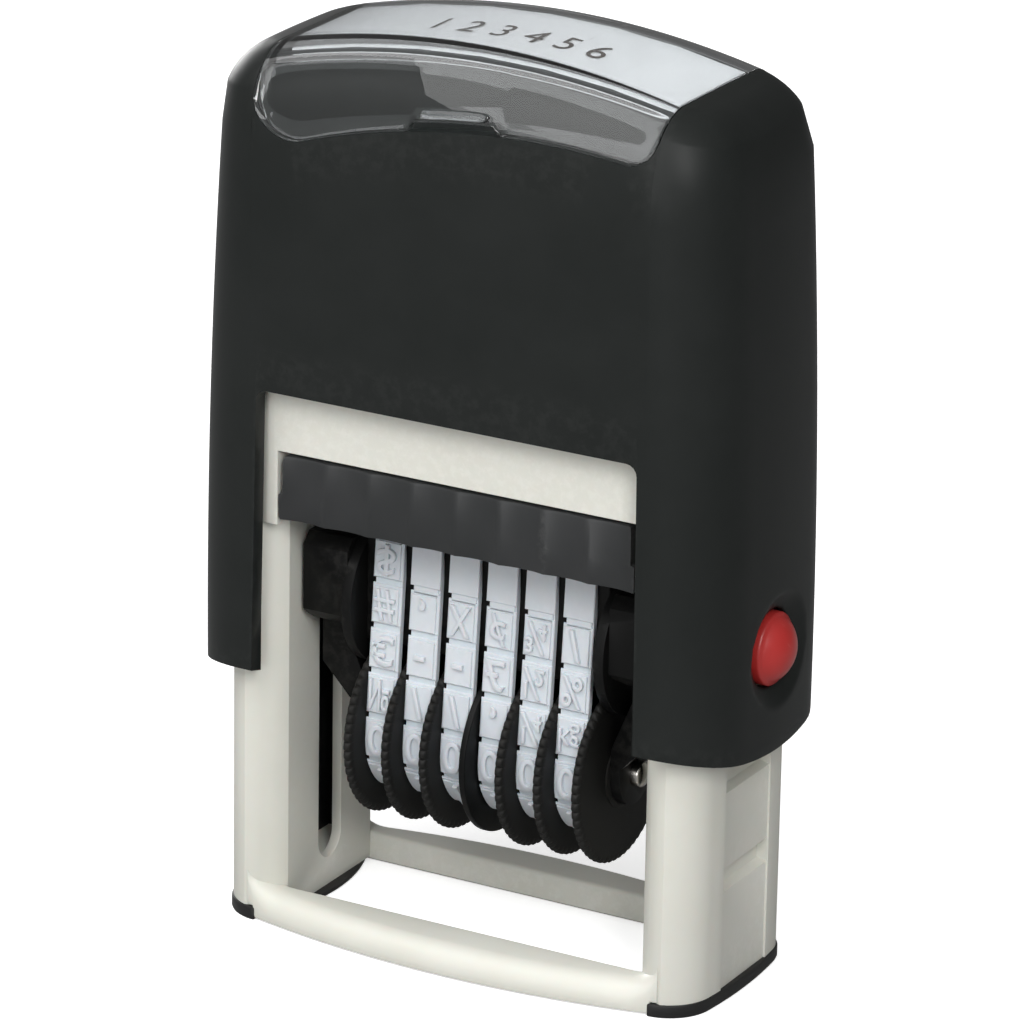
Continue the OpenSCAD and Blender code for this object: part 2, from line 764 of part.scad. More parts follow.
// A wire swept along a list of points, as one closed solid
module wire(path, r, sides = 8) {
    n = len(path);
    rings = [for (i = [0:n - 1])
        let (t = path[min(i + 1, n - 1)] - path[max(i - 1, 0)],
             u = cross(t, [0, 0, 1]) / norm(cross(t, [0, 0, 1])),
             v = cross(u, t) / norm(t))
        for (k = [0:sides - 1]) path[i] + r * (cos(360 * k / sides) * u + sin(360 * k / sides) * v)];
    skin = [for (i = [0:n - 2], k = [0:sides - 1]) let (m = (k + 1) % sides)
        [i * sides + k, i * sides + m, (i + 1) * sides + m, (i + 1) * sides + k]];
    ends = [[for (k = [sides - 1:-1:0]) k], [for (k = [0:sides - 1]) (n - 1) * sides + k]];
    polyhedron(rings, concat(skin, ends));
}

module main_spring() {
    bottom = spring_seat + wire_d / 2;
    top = beam_bottom - wire_d / 2;
    steps = 20 * spring_turns;
    color(steel) wire([for (i = [0:steps]) let (a = 360 * spring_turns * i / steps)
        [spring_d / 2 * cos(a), spring_d / 2 * sin(a), bottom + (top - bottom) * i / steps]],
        wire_d / 2);
}

// ---- number unit -----------------------------------------------------------

// The band's run, offset outwards by h from its inner surface
module band_run(h) {
    hull() {
        translate([0, axle_z]) circle(band_bend_r + h, $fn = 64);
        for (s = dir) translate([s * (platen_half_d - platen_round_r), print_core_z - platen_round_r])
            circle(platen_round_r + h, $fn = 32);
    }
}

// A cut of one block gap's width, from the middle outwards
module gap_cut(from) {
    translate([from, -block_gap / 2]) square([far, block_gap]);
}

// Gaps between the blocks, cut across the straight runs, the print and the wheel
module block_gaps() {
    pitch = (print_z - block_h - axle_z) / block_count;
    turn = pitch / band_bend_r * 180 / PI;
    for (s = dir, i = [0:block_count - 1]) translate([0, axle_z + (i + 0.5) * pitch])
        mirror([s < 0 ? 1 : 0, 0]) gap_cut(platen_half_d);
    for (i = [-1:1]) translate([0, axle_z]) rotate(i * turn - 90) gap_cut(drum_d / 2);
    for (s = dir) translate([s * pitch / 2, 0]) rotate(90) gap_cut(print_core_z);
}

function band_x(i) = (i - (band_count + 1) / 2) * band_pitch;

module band(i) {
    x = band_x(i);
    color(band_grey) along_x(x - band_w / 2, x + band_w / 2) difference() {
        union() {
            band_run(band_t);
            difference() {
                band_run(band_t + block_h);
                block_gaps();
            }
        }
        band_run(2 * tiny);
    }
}

// The rim sits on the outer side of its band, and the drum fills the band
function rim_x(i) = (i <= band_count / 2 ? i - band_count / 2 - 1 : i - band_count / 2) * band_pitch;

module number_wheel(i) {
    x = band_x(i);
    rim = rim_x(i);
    side = rim < x ? -1 : 1;
    drum_half = band_w / 2;
    knurl_r = 0.42 * PI * wheel_d / knurl_count;
    color(part_black) difference() {
        union() {
            along_x(rim - wheel_t / 2, rim + wheel_t / 2) translate([0, axle_z]) difference() {
                circle(wheel_d / 2, $fn = 96);
                for (k = [0:knurl_count - 1]) rotate(360 * k / knurl_count)
                    translate([wheel_d / 2 + knurl_r - knurl_depth, 0]) circle(knurl_r, $fn = 12);
            }
            rod_x(side < 0 ? rim : x - drum_half, side < 0 ? x + drum_half : rim, drum_d / 2, 0, axle_z);
        }
        rod_x(-far, far, axle_d / 2 + fit, 0, axle_z);
    }
}

module centre_divider() {
    color(part_black) difference() {
        rod_x(-divider_t / 2, divider_t / 2, divider_d / 2, 0, axle_z);
        rod_x(-far, far, axle_d / 2, 0, axle_z);
    }
}

module wheel_axle() {
    end_r = axle_d / 2;
    half = axle_l / 2;
    color(steel) union() {
        rod_x(-half + end_r, half - end_r, end_r, 0, axle_z);
        for (s = dir) translate([s * (half - end_r), 0, axle_z]) sphere(end_r);
    }
}

module platen() {
    stem_bottom = axle_z + wheel_d / 2 + gap;
    half = arm_eye_x;
    color(part_black) union() {
        along_x(-half, half) hull() {
            for (s = dir) translate([s * (platen_half_d - platen_round_r), print_core_z - platen_round_r])
                circle(platen_round_r, $fn = 32);
            translate([-platen_half_d, stem_bottom]) square([2 * platen_half_d, platen_round_r]);
        }
        for (s = dir) on_side(s) rod_x(half - tiny, half + tenon_l, tenon_d / 2, 0, tenon_z);
    }
}

module arm(side) {
    head_low = arm_head_top - arm_chamfer;
    eye_x1 = arm_eye_x + arm_eye_t;
    eye_r = arm_eye_d / 2;
    color(part_black) on_side(side) difference() {
        union() {
            intersection() {
                along_y(-arm_head_d / 2, arm_head_d / 2) polygon([
                    [head_x0, arm_head_bottom + arm_step], [head_x0, arm_head_top],
                    [arm_outer_x, arm_head_top], [arm_outer_x, arm_head_bottom + arm_step],
                    [arm_shank_x1, arm_head_bottom], [arm_shank_x0, arm_head_bottom]]);
                along_x(0, far) offset(delta = arm_chamfer, chamfer = true)
                    offset(delta = -arm_chamfer) translate([-arm_head_d / 2, arm_head_bottom])
                        square([arm_head_d, arm_head_top - arm_head_bottom]);
            }
            intersection() {
                along_y(-arm_d / 2, arm_d / 2) polygon([
                    [arm_shank_x0, head_low], [arm_shank_x1, head_low],
                    [arm_shank_x1, arm_bend_z], [eye_x1, axle_z + axle_d / 2],
                    [eye_x1, 0], [arm_eye_x, 0],
                    [arm_eye_x, axle_z + eye_r], [arm_shank_x0, arm_bend_z + arm_t]]);
                along_x(0, far) union() {
                    translate([-arm_d / 2, axle_z + eye_r / 2]) square([arm_d, far]);
                    translate([0, axle_z]) circle(eye_r);
                    translate([-eye_r, axle_z]) square([arm_eye_d, eye_r]);
                }
            }
            rod_x(arm_eye_x, head_x0 + tiny, cheek_d / 2, 0, pivot_z);
            rod_x(arm_outer_x - tiny, crank_x0, pivot_d / 2, 0, pivot_z);
            rod_x(crank_x0 - tiny, crank_x1, pivot_d / 4, 0, pivot_z);
        }
        rod_x(0, far, axle_d / 2, 0, axle_z);
        rod_x(0, arm_eye_x + tenon_l + fit, tenon_d / 2, 0, tenon_z);
    }
}

// The crank on the outer end of a pivot stub, with the pin that runs in the track
module flip_crank(side) {
    color(steel) on_side(side) difference() {
        union() {
            along_x(crank_x0, crank_x1) translate([0, pivot_z]) hull() {
                circle(pivot_d / 2 + root);
                translate([0, crank_r]) circle(crank_pin_d / 2 + root);
            }
            rod_x(crank_x1 - tiny, track_x - gap, crank_pin_d / 2, 0, pivot_z + crank_r);
        }
        rod_x(crank_x0 - root, crank_x1 + root, pivot_d / 4, 0, pivot_z);
    }
}

// ---- the pieces ------------------------------------------------------------

base_frame();
foot(-1);  // foot_left
foot(1);  // foot_right
ink_cartridge();
ink_pad();
main_spring();
cap_shell();
inner_slider();
index_window();
index_card();
lock_button(-1);  // lock_button_left
lock_button(1);  // lock_button_right
arm(-1);  // arm_left
arm(1);  // arm_right
platen();
wheel_axle();
centre_divider();
flip_crank(-1);  // flip_crank_left
flip_crank(1);  // flip_crank_right
band(1);  // band_1
band(2);  // band_2
band(3);  // band_3
band(4);  // band_4
band(5);  // band_5
band(6);  // band_6
number_wheel(1);  // number_wheel_1
number_wheel(2);  // number_wheel_2
number_wheel(3);  // number_wheel_3
number_wheel(4);  // number_wheel_4
number_wheel(5);  // number_wheel_5
number_wheel(6);  // number_wheel_6
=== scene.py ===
"""Numbering machine with six number bands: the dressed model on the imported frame.

Lengths in the classes are millimetres and become metres when a mesh is made.
X runs along the row of bands, -Y is the front and +Z is up.
A side is -1 for the left or front one and 1 for the right or back one, unless a method says otherwise.
Corners within WELD become one, edges under SLIVER go, and a cutter stands CLEAR of what it cuts.
"""

import logging
from dataclasses import dataclass, field
from enum import Enum
from math import asin, atan2, cos, degrees, hypot, pi, radians, sin, sqrt
from typing import Callable, Iterable, Sequence

import bmesh
import bpy
from bpy.types import ID, Material, Node, NodeSocket, NodeTree, Object
from mathutils import Matrix, Vector


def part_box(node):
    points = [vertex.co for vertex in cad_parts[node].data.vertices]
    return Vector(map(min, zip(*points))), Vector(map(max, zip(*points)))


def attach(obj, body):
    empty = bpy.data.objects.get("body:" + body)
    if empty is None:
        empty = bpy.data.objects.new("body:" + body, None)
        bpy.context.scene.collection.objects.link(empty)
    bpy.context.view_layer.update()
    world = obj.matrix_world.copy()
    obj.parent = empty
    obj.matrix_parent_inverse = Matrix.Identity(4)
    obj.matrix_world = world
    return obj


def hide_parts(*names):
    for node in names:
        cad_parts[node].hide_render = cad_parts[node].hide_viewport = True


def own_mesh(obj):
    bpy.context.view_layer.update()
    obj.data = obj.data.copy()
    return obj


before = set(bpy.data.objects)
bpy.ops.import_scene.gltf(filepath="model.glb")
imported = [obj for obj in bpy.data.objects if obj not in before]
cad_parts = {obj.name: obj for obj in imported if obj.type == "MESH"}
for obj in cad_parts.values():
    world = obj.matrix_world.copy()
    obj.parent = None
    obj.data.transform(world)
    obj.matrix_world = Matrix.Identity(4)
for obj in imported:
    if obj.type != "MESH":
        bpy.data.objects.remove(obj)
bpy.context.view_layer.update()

MM = 0.001
WELD = 0.002 * MM
SLIVER = 0.001 * MM
SAME = 1e-6
CLEAR = 5.0
SIDES = (-1, 1)
AXLE_Z = 20.75
BUTTON_Z = 37.3
BAND_PITCH = 4.43
Point = tuple[float, float, float]
Flat = tuple[float, float]
Colour = tuple[float, float, float]
Half = list[list[int]]
log = logging.getLogger("numbering_machine")


# ---- small geometry ----


def spread(start: float, end: float, count: int) -> list[float]:
    """count + 1 evenly spaced values from start to end."""
    return [start + (end - start) * i / count for i in range(count + 1)]


def arc(centre: Flat, radius: float, start: float, end: float, count: int) -> list[Flat]:
    """Points on a circular arc: count + 1 of them, from a start to an end angle in degrees.

    Args:
        centre: The middle of the circle.
        radius: Its radius.
        start: The first angle.
        end: The last angle.
        count: The number of steps.

    Returns:
        The points in order.
    """
    return [
        (centre[0] + radius * cos(radians(a)), centre[1] + radius * sin(radians(a)))
        for a in spread(start, end, count)
    ]


def bisect(test: Callable[[float], float], low: float, high: float) -> float:
    """Finds where a rising function passes zero.

    Args:
        test: The rising function.
        low: A value where it is below zero.
        high: A value where it is above zero.

    Returns:
        The place of the zero.
    """
    for _ in range(40):
        middle = (low + high) / 2
        if test(middle) > 0:
            high = middle
        else:
            low = middle
    return (low + high) / 2


class Axis(Enum):
    """The axis that a section is drawn across."""

    X = "x"
    Y = "y"
    Z = "z"

    def place(self, flat: Flat, along: float) -> Point:
        """Puts a point of a drawn section into space, at a place along the axis."""
        u, v = flat
        return {Axis.X: (along, u, v), Axis.Y: (u, along, v), Axis.Z: (u, v, along)}[self]


class Moulding:
    """Collects the corners and faces of one piece and makes its object."""

    POINT_R = 1e-5

    def __init__(self) -> None:
        """Starts with no corners and no faces."""
        self.corners: list[Point] = []
        self.faces: list[tuple[int, ...]] = []

    def add(self, points: Iterable[Point]) -> list[int]:
        """Adds corners.

        Args:
            points: Their places.

        Returns:
            Their numbers.
        """
        first = len(self.corners)
        self.corners.extend(points)
        return list(range(first, len(self.corners)))

    def strip(self, low: Sequence[int], high: Sequence[int], closed: bool = False) -> None:
        """Joins two rows of corners by a strip of four-sided faces.

        Args:
            low: Numbers of the first row.
            high: Numbers of the second row.
            closed: Whether the rows are rings.
        """
        count = len(low) if closed else len(low) - 1
        for i in range(count):
            j = (i + 1) % len(low)
            self.faces.append((low[i], low[j], high[j], high[i]))

    def rings(self, rings: Sequence[Sequence[Point]]) -> None:
        """Joins a stack of closed rings into a skin and fills the first and last ones.

        Args:
            rings: The rings, each with the same number of points.
        """
        rows = [self.add(ring) for ring in rings]
        for low, high in zip(rows, rows[1:]):
            self.strip(low, high, closed=True)
        self.faces.append(tuple(reversed(rows[0])))
        self.faces.append(tuple(rows[-1]))

    def join(self, points: Iterable[Point], faces: Iterable[Sequence[int]]) -> None:
        """Adds a ready set of corners and faces."""
        numbers = self.add(points)
        self.faces += [tuple(numbers[n] for n in face) for face in faces]

    def prism(self, outline: Sequence[Flat], axis: Axis, start: float, end: float) -> None:
        """Extrudes a drawn section along an axis, from a start to an end."""
        self.rings([[axis.place(p, along) for p in outline] for along in (start, end)])

    def lathe(self, profile: Sequence[Flat], centre: Flat, axis: Axis, count: int) -> None:
        """Turns a profile round a line along an axis.

        Args:
            profile: Pairs of radius and place along the axis. A zero radius closes an end.
            centre: Where the line crosses the drawn section.
            axis: The axis of the line.
            count: How many steps one turn has.
        """
        rings = []
        for radius, along in profile:
            ring = arc(centre, max(radius, self.POINT_R), 0, 360, count)[:-1]
            rings.append([axis.place(p, along) for p in ring])
        self.rings(rings)

    def build(self, name: str) -> Object:
        """Makes the piece, with merged corners and outward faces.

        Args:
            name: Its name.

        Returns:
            The object, in metres and linked to the scene.
        """
        data = bpy.data.meshes.new(name)
        data.from_pydata([tuple(c * MM for c in p) for p in self.corners], [], self.faces)
        shape = bmesh.new()
        shape.from_mesh(data)
        bmesh.ops.remove_doubles(shape, verts=shape.verts, dist=WELD)
        bmesh.ops.dissolve_degenerate(shape, edges=shape.edges, dist=SLIVER)
        bmesh.ops.recalc_face_normals(shape, faces=shape.faces)
        shape.to_mesh(data)
        shape.free()
        return add_object(name, data)


def add_object(name: str, data: ID) -> Object:
    """Adds an object to the scene.

    Args:
        name: Its name.
        data: Its mesh, light, camera or text.

    Returns:
        The object.
    """
    made = bpy.data.objects.new(name, data)
    bpy.context.scene.collection.objects.link(made)
    return made


def hand(side: int) -> str:
    """The word for a side along X."""
    return "right" if side > 0 else "left"


def settle(piece: Object) -> None:
    """Applies all modifiers of a piece to its mesh.

    Args:
        piece: The object.
    """
    graph = bpy.context.evaluated_depsgraph_get()
    old = piece.data
    piece.data = bpy.data.meshes.new_from_object(piece.evaluated_get(graph))
    piece.modifiers.clear()
    bpy.data.meshes.remove(old)


def soften(piece: Object, width: float, angle: float = 40.0, steps: int = 3) -> None:
    """Rounds the sharp edges of a piece.

    Args:
        piece: The object.
        width: The width of the rounding.
        angle: The least angle, in degrees, between two faces whose edge is rounded.
        steps: How many faces each rounding has.
    """
    bevel = piece.modifiers.new("edge rounding", "BEVEL")
    bevel.width = width * MM
    bevel.segments = steps
    bevel.limit_method = "ANGLE"
    bevel.angle_limit = radians(angle)
    settle(piece)


def shade(piece: Object, angle: float = 35.0) -> None:
    """Shades a piece smoothly, apart from its sharp edges.

    Args:
        piece: The object.
        angle: The least angle, in degrees, of an edge that stays sharp.
    """
    for face in piece.data.polygons:
        face.use_smooth = True
    piece.data.set_sharp_from_angle(angle=radians(angle))


def carve(piece: Object, tools: Sequence[Object]) -> None:
    """Cuts tools out of a piece and removes the tools.

    Args:
        piece: The object that is cut.
        tools: The objects that cut it.
    """
    for tool in tools:
        cut = piece.modifiers.new("cut", "BOOLEAN")
        cut.object = tool
        cut.operation = "DIFFERENCE"
        cut.solver = "EXACT"
        settle(piece)
        bpy.data.objects.remove(tool)


def box_tool(low: Point, high: Point) -> Object:
    """Makes a box that cuts.

    Args:
        low: Its lowest corner.
        high: Its highest corner.

    Returns:
        The object.
    """
    tool = Moulding()
    outline = [(low[0], low[1]), (high[0], low[1]), (high[0], high[1]), (low[0], high[1])]
    tool.prism(outline, Axis.Z, low[2], high[2])
    return tool.build("cutter")


def side_box(side: int, low: Point, high: Point) -> Object:
    """Makes a box that cuts on one side, from the lowest and highest corner of the right-hand one."""
    x0, x1 = sorted((side * low[0], side * high[0]))
    return box_tool((x0, *low[1:]), (x1, *high[1:]))


def rounded_box(low: Flat, high: Flat, radius: float, count: int = 6) -> list[Flat]:
    """Outline of a rectangle with rounded corners.

    Args:
        low: Its lowest corner.
        high: Its highest corner.
        radius: The radius of its corners.
        count: How many steps each corner has.

    Returns:
        The outline, anticlockwise.
    """
    x0, y0, x1, y1 = low[0] + radius, low[1] + radius, high[0] - radius, high[1] - radius
    corners = [((x1, y0), -90), ((x1, y1), 0), ((x0, y1), 90), ((x0, y0), 180)]
    return [p for centre, start in corners for p in arc(centre, radius, start, start + 90, count)]


# ---- finishes ----


class Sockets:
    """Short ways to add nodes to one node tree."""

    def __init__(self, tree: NodeTree) -> None:
        """Keeps the tree that nodes are added to."""
        self.tree = tree

    @classmethod
    def material(cls, name: str) -> tuple[Material, "Sockets"]:
        """Starts an empty material.

        Args:
            name: Its name.

        Returns:
            The material, and a helper for its tree.
        """
        made = bpy.data.materials.new(name)
        made.use_nodes = True
        made.node_tree.nodes.clear()
        return made, cls(made.node_tree)

    def node(
            self, kind: str, inputs: dict[str | int, object] | None = None, **settings: object,
    ) -> Node:
        """Adds a node.

        Args:
            kind: Its type, such as ShaderNodeTexNoise.
            inputs: Values or sockets for its inputs.
            settings: Values for its properties.

        Returns:
            The node.
        """
        node = self.tree.nodes.new(kind)
        for key, value in settings.items():
            setattr(node, key, value)
        for key, value in (inputs or {}).items():
            if isinstance(value, NodeSocket):
                self.tree.links.new(value, node.inputs[key])
            else:
                node.inputs[key].default_value = value
        return node

    def maths(self, how: str, *values: object, clamp: bool = False) -> NodeSocket:
        """Adds a Math node with values or sockets as its inputs, and gives its result."""
        node = self.node("ShaderNodeMath", dict(enumerate(values)), operation=how, use_clamp=clamp)
        return node.outputs[0]

    def noise(
            self, place: NodeSocket, scale: object, detail: float = 2.0, rough: float = 0.5,
    ) -> NodeSocket:
        """Adds a noise texture, scaled in features a metre, and gives its value."""
        inputs = {"Vector": place, "Scale": scale, "Detail": detail, "Roughness": rough}
        return self.node("ShaderNodeTexNoise", inputs).outputs["Fac"]

    def band(self, value: NodeSocket, low: object, high: object) -> NodeSocket:
        """Maps a range of values smoothly to 0 to 1."""
        inputs = {"Value": value, "From Min": low, "From Max": high}
        return self.node("ShaderNodeMapRange", inputs, interpolation_type="SMOOTHSTEP").outputs["Result"]

    def blend(self, share: object, first: object, second: object) -> NodeSocket:
        """Mixes two colours.

        Args:
            share: How much of the second colour.
            first: The first colour.
            second: The second colour.

        Returns:
            The mixed colour.
        """
        node = self.node("ShaderNodeMix", data_type="RGBA")
        for index, value in ((0, share), (6, first), (7, second)):
            if isinstance(value, NodeSocket):
                self.tree.links.new(value, node.inputs[index])
            else:
                node.inputs[index].default_value = value
        return node.outputs[2]


class SurfaceEffects:
    """The effects that several finishes share, each as one shader node group."""

    FINE_SHARE = 0.65
    COARSE_SHARE = 0.35
    COARSE_SCALE = 0.22
    CLOUDS = (0.3, 0.7)
    CONVEX = (0.535, 0.62)
    PATCHES = (0.42, 0.66)
    UPWARD = (0.1, 1.0)
    FILM_PER_M = 140.0
    FILM = (0.35, 0.75)
    FILM_SHARE = 0.35
    SPECK_SIZE = 0.10
    SPECK_RARITY = 0.985

    def __init__(self) -> None:
        """Builds the groups once."""
        self.grain = self._grain()
        self.wear = self._wear()
        self.dust = self._dust()

    @staticmethod
    def _group(name: str, inputs: dict[str, float], outputs: Sequence[str]) -> tuple[Sockets, Node]:
        """Starts a node group with named sockets.

        Args:
            name: The name of the group.
            inputs: Its inputs with their usual values.
            outputs: The names of its outputs.

        Returns:
            A helper for the group's tree, and its input node.
        """
        tree = bpy.data.node_groups.new(name, "ShaderNodeTree")
        for key, value in inputs.items():
            socket = tree.interface.new_socket(key, in_out="INPUT", socket_type="NodeSocketFloat")
            socket.default_value = value
        for key in outputs:
            tree.interface.new_socket(key, in_out="OUTPUT", socket_type="NodeSocketFloat")
        kit = Sockets(tree)
        return kit, kit.node("NodeGroupInput")

    def _grain(self) -> NodeTree:
        """Fine moulded grain: a height, and slow clouds that vary colour and gloss.

        Returns:
            The group.
        """
        kit, given = self._group(
            "moulded grain", {"Grain Scale": 6000.0, "Cloud Scale": 60.0}, ("Height", "Clouds"))
        place = kit.node("ShaderNodeTexCoord").outputs["Object"]
        fine = kit.noise(place, given.outputs["Grain Scale"], 3.0, 0.65)
        coarse = kit.noise(place, kit.maths("MULTIPLY", given.outputs["Grain Scale"], self.COARSE_SCALE))
        height = kit.maths("ADD", kit.maths("MULTIPLY", fine, self.FINE_SHARE),
                           kit.maths("MULTIPLY", coarse, self.COARSE_SHARE))
        clouds = kit.noise(place, given.outputs["Cloud Scale"], 4.0, 0.6)
        kit.node("NodeGroupOutput", {"Height": height, "Clouds": kit.band(clouds, *self.CLOUDS)})
        return kit.tree

    def _wear(self) -> NodeTree:
        """Rubbed edges: where the surface is convex, broken up by noise.

        Returns:
            The group.
        """
        kit, given = self._group("rubbed edges", {"Amount": 0.5, "Break Up": 900.0}, ("Mask",))
        place = kit.node("ShaderNodeTexCoord").outputs["Object"]
        edge = kit.band(kit.node("ShaderNodeNewGeometry").outputs["Pointiness"], *self.CONVEX)
        patches = kit.band(kit.noise(place, given.outputs["Break Up"], 4.0, 0.7), *self.PATCHES)
        worn = kit.maths("MULTIPLY", edge, patches)
        mask = kit.maths("MULTIPLY", worn, given.outputs["Amount"], clamp=True)
        kit.node("NodeGroupOutput", {"Mask": mask})
        return kit.tree

    def _dust(self) -> NodeTree:
        """Thin dust: specks, and a film on faces that look up.

        Returns:
            The group.
        """
        kit, given = self._group("thin dust", {"Amount": 0.1, "Specks": 2600.0}, ("Mask",))
        place = kit.node("ShaderNodeTexCoord").outputs["Object"]
        normal = kit.node("ShaderNodeNewGeometry").outputs["Normal"]
        up = kit.node("ShaderNodeSeparateXYZ", {0: normal}).outputs["Z"]
        patches = kit.band(kit.noise(place, self.FILM_PER_M, 5.0, 0.65), *self.FILM)
        film = kit.maths("MULTIPLY", kit.band(up, *self.UPWARD), patches)
        cell = kit.node("ShaderNodeTexVoronoi", {"Vector": place, "Scale": given.outputs["Specks"]})
        speck = kit.maths("LESS_THAN", cell.outputs["Distance"], self.SPECK_SIZE)
        chance = kit.node("ShaderNodeSeparateColor", {0: cell.outputs["Color"]}).outputs[0]
        rare = kit.maths("GREATER_THAN", chance, self.SPECK_RARITY)
        specks = kit.maths("MULTIPLY", speck, rare)
        both = kit.maths("ADD", kit.maths("MULTIPLY", film, self.FILM_SHARE), specks)
        mask = kit.maths("MULTIPLY", both, given.outputs["Amount"], clamp=True)
        kit.node("NodeGroupOutput", {"Mask": mask})
        return kit.tree


@dataclass(frozen=True)
class MouldedFinish:
    """A moulded plastic or rubber finish, with grain, clouds, rubbed edges and dust."""

    name: str
    colour: Colour
    second: Colour
    roughness: float
    roughness_spread: float = 0.06
    grain_per_m: float = 6000.0
    grain_depth: float = 0.004
    wear_colour: Colour = (0.2, 0.2, 0.2)
    wear: float = 0.3
    dust_colour: Colour = (0.55, 0.54, 0.5)
    dust: float = 0.1
    dust_roughness: float = 0.3
    specular: float = 0.5
    subsurface: float = 0.0
    subsurface_depth: float = 0.6
    sheen: float = 0.0

    def material(self, effects: SurfaceEffects) -> Material:
        """Builds the material.

        Args:
            effects: The shared node groups.

        Returns:
            The material.
        """
        made, kit = Sockets.material(self.name)
        grain = kit.node("ShaderNodeGroup", {"Grain Scale": self.grain_per_m}, node_tree=effects.grain)
        wear = kit.node("ShaderNodeGroup", {"Amount": self.wear}, node_tree=effects.wear)
        dust = kit.node("ShaderNodeGroup", {"Amount": self.dust}, node_tree=effects.dust)
        base = kit.blend(grain.outputs["Clouds"], (*self.colour, 1), (*self.second, 1))
        rubbed = kit.blend(wear.outputs["Mask"], base, (*self.wear_colour, 1))
        dusty = kit.blend(dust.outputs["Mask"], rubbed, (*self.dust_colour, 1))
        smoothest = self.roughness - self.roughness_spread / 2
        rough = kit.maths("MULTIPLY_ADD", grain.outputs["Clouds"], self.roughness_spread, smoothest)
        dulled = kit.maths("MULTIPLY", dust.outputs["Mask"], self.dust_roughness)
        bump = kit.node("ShaderNodeBump", {
            "Height": grain.outputs["Height"], "Strength": 1.0, "Distance": self.grain_depth * MM})
        shader = kit.node("ShaderNodeBsdfPrincipled", {
            "Base Color": dusty, "Roughness": kit.maths("ADD", rough, dulled, clamp=True),
            "Normal": bump.outputs["Normal"], "Specular IOR Level": self.specular,
            "Subsurface Weight": self.subsurface, "Subsurface Scale": self.subsurface_depth * MM,
            "Sheen Weight": self.sheen})
        kit.node("ShaderNodeOutputMaterial", {"Surface": shader.outputs[0]})
        return made


@dataclass(frozen=True)
class MetalFinish:
    """A turned, drawn or plated metal finish."""

    name: str
    colour: Colour
    roughness: float
    streak_per_m: float = 9000.0
    stretch: Point = (1.0, 1.0, 1.0)
    grime: Colour = (0.16, 0.15, 0.13)
    grime_share: float = 0.25
    cloud_per_m: float = 260.0
    streak_roughness: float = 0.12
    streak_depth: float = 0.0015

    def material(self, effects: SurfaceEffects) -> Material:
        """Builds the material.

        Args:
            effects: The shared node groups.

        Returns:
            The material.
        """
        made, kit = Sockets.material(self.name)
        place = kit.node("ShaderNodeTexCoord").outputs["Object"]
        stretched = kit.node("ShaderNodeMapping", {"Vector": place, "Scale": self.stretch}).outputs[0]
        streaks = kit.noise(stretched, self.streak_per_m)
        grain = kit.node("ShaderNodeGroup", {"Cloud Scale": self.cloud_per_m}, node_tree=effects.grain)
        tarnish = kit.maths("MULTIPLY", grain.outputs["Clouds"], self.grime_share)
        bump = kit.node("ShaderNodeBump", {
            "Height": streaks, "Strength": 1.0, "Distance": self.streak_depth * MM})
        shader = kit.node("ShaderNodeBsdfPrincipled", {
            "Base Color": kit.blend(tarnish, (*self.colour, 1), (*self.grime, 1)),
            "Roughness": kit.maths("MULTIPLY_ADD", streaks, self.streak_roughness, self.roughness),
            "Metallic": 1.0, "Normal": bump.outputs["Normal"]})
        kit.node("ShaderNodeOutputMaterial", {"Surface": shader.outputs[0]})
        return made


@dataclass(frozen=True)
class ClearFinish:
    """Clear moulded plastic with faint waves and hairline marks."""

    name: str
    colour: Colour
    roughness: float
    cloud_roughness: float = 0.015
    grain_per_m: float = 500.0
    cloud_per_m: float = 90.0
    grain_depth: float = 0.003
    bump_strength: float = 0.02
    refraction: float = 1.49

    def material(self, effects: SurfaceEffects) -> Material:
        """Builds the material.

        Args:
            effects: The shared node groups.

        Returns:
            The material.
        """
        made, kit = Sockets.material(self.name)
        scales = {"Grain Scale": self.grain_per_m, "Cloud Scale": self.cloud_per_m}
        grain = kit.node("ShaderNodeGroup", scales, node_tree=effects.grain)
        rough = kit.maths("MULTIPLY_ADD", grain.outputs["Clouds"], self.cloud_roughness, self.roughness)
        bump = kit.node("ShaderNodeBump", {
            "Height": grain.outputs["Height"], "Strength": self.bump_strength,
            "Distance": self.grain_depth * MM})
        shader = kit.node("ShaderNodeBsdfPrincipled", {
            "Base Color": (*self.colour, 1), "Roughness": rough, "Transmission Weight": 1.0,
            "IOR": self.refraction, "Normal": bump.outputs["Normal"]})
        clear = kit.node("ShaderNodeBsdfTransparent", {"Color": (*self.colour, 1)})
        shadow = kit.node("ShaderNodeLightPath").outputs["Is Shadow Ray"]
        mixed = kit.node("ShaderNodeMixShader", {0: shadow, 1: shader.outputs[0], 2: clear.outputs[0]})
        kit.node("ShaderNodeOutputMaterial", {"Surface": mixed.outputs[0]})
        return made


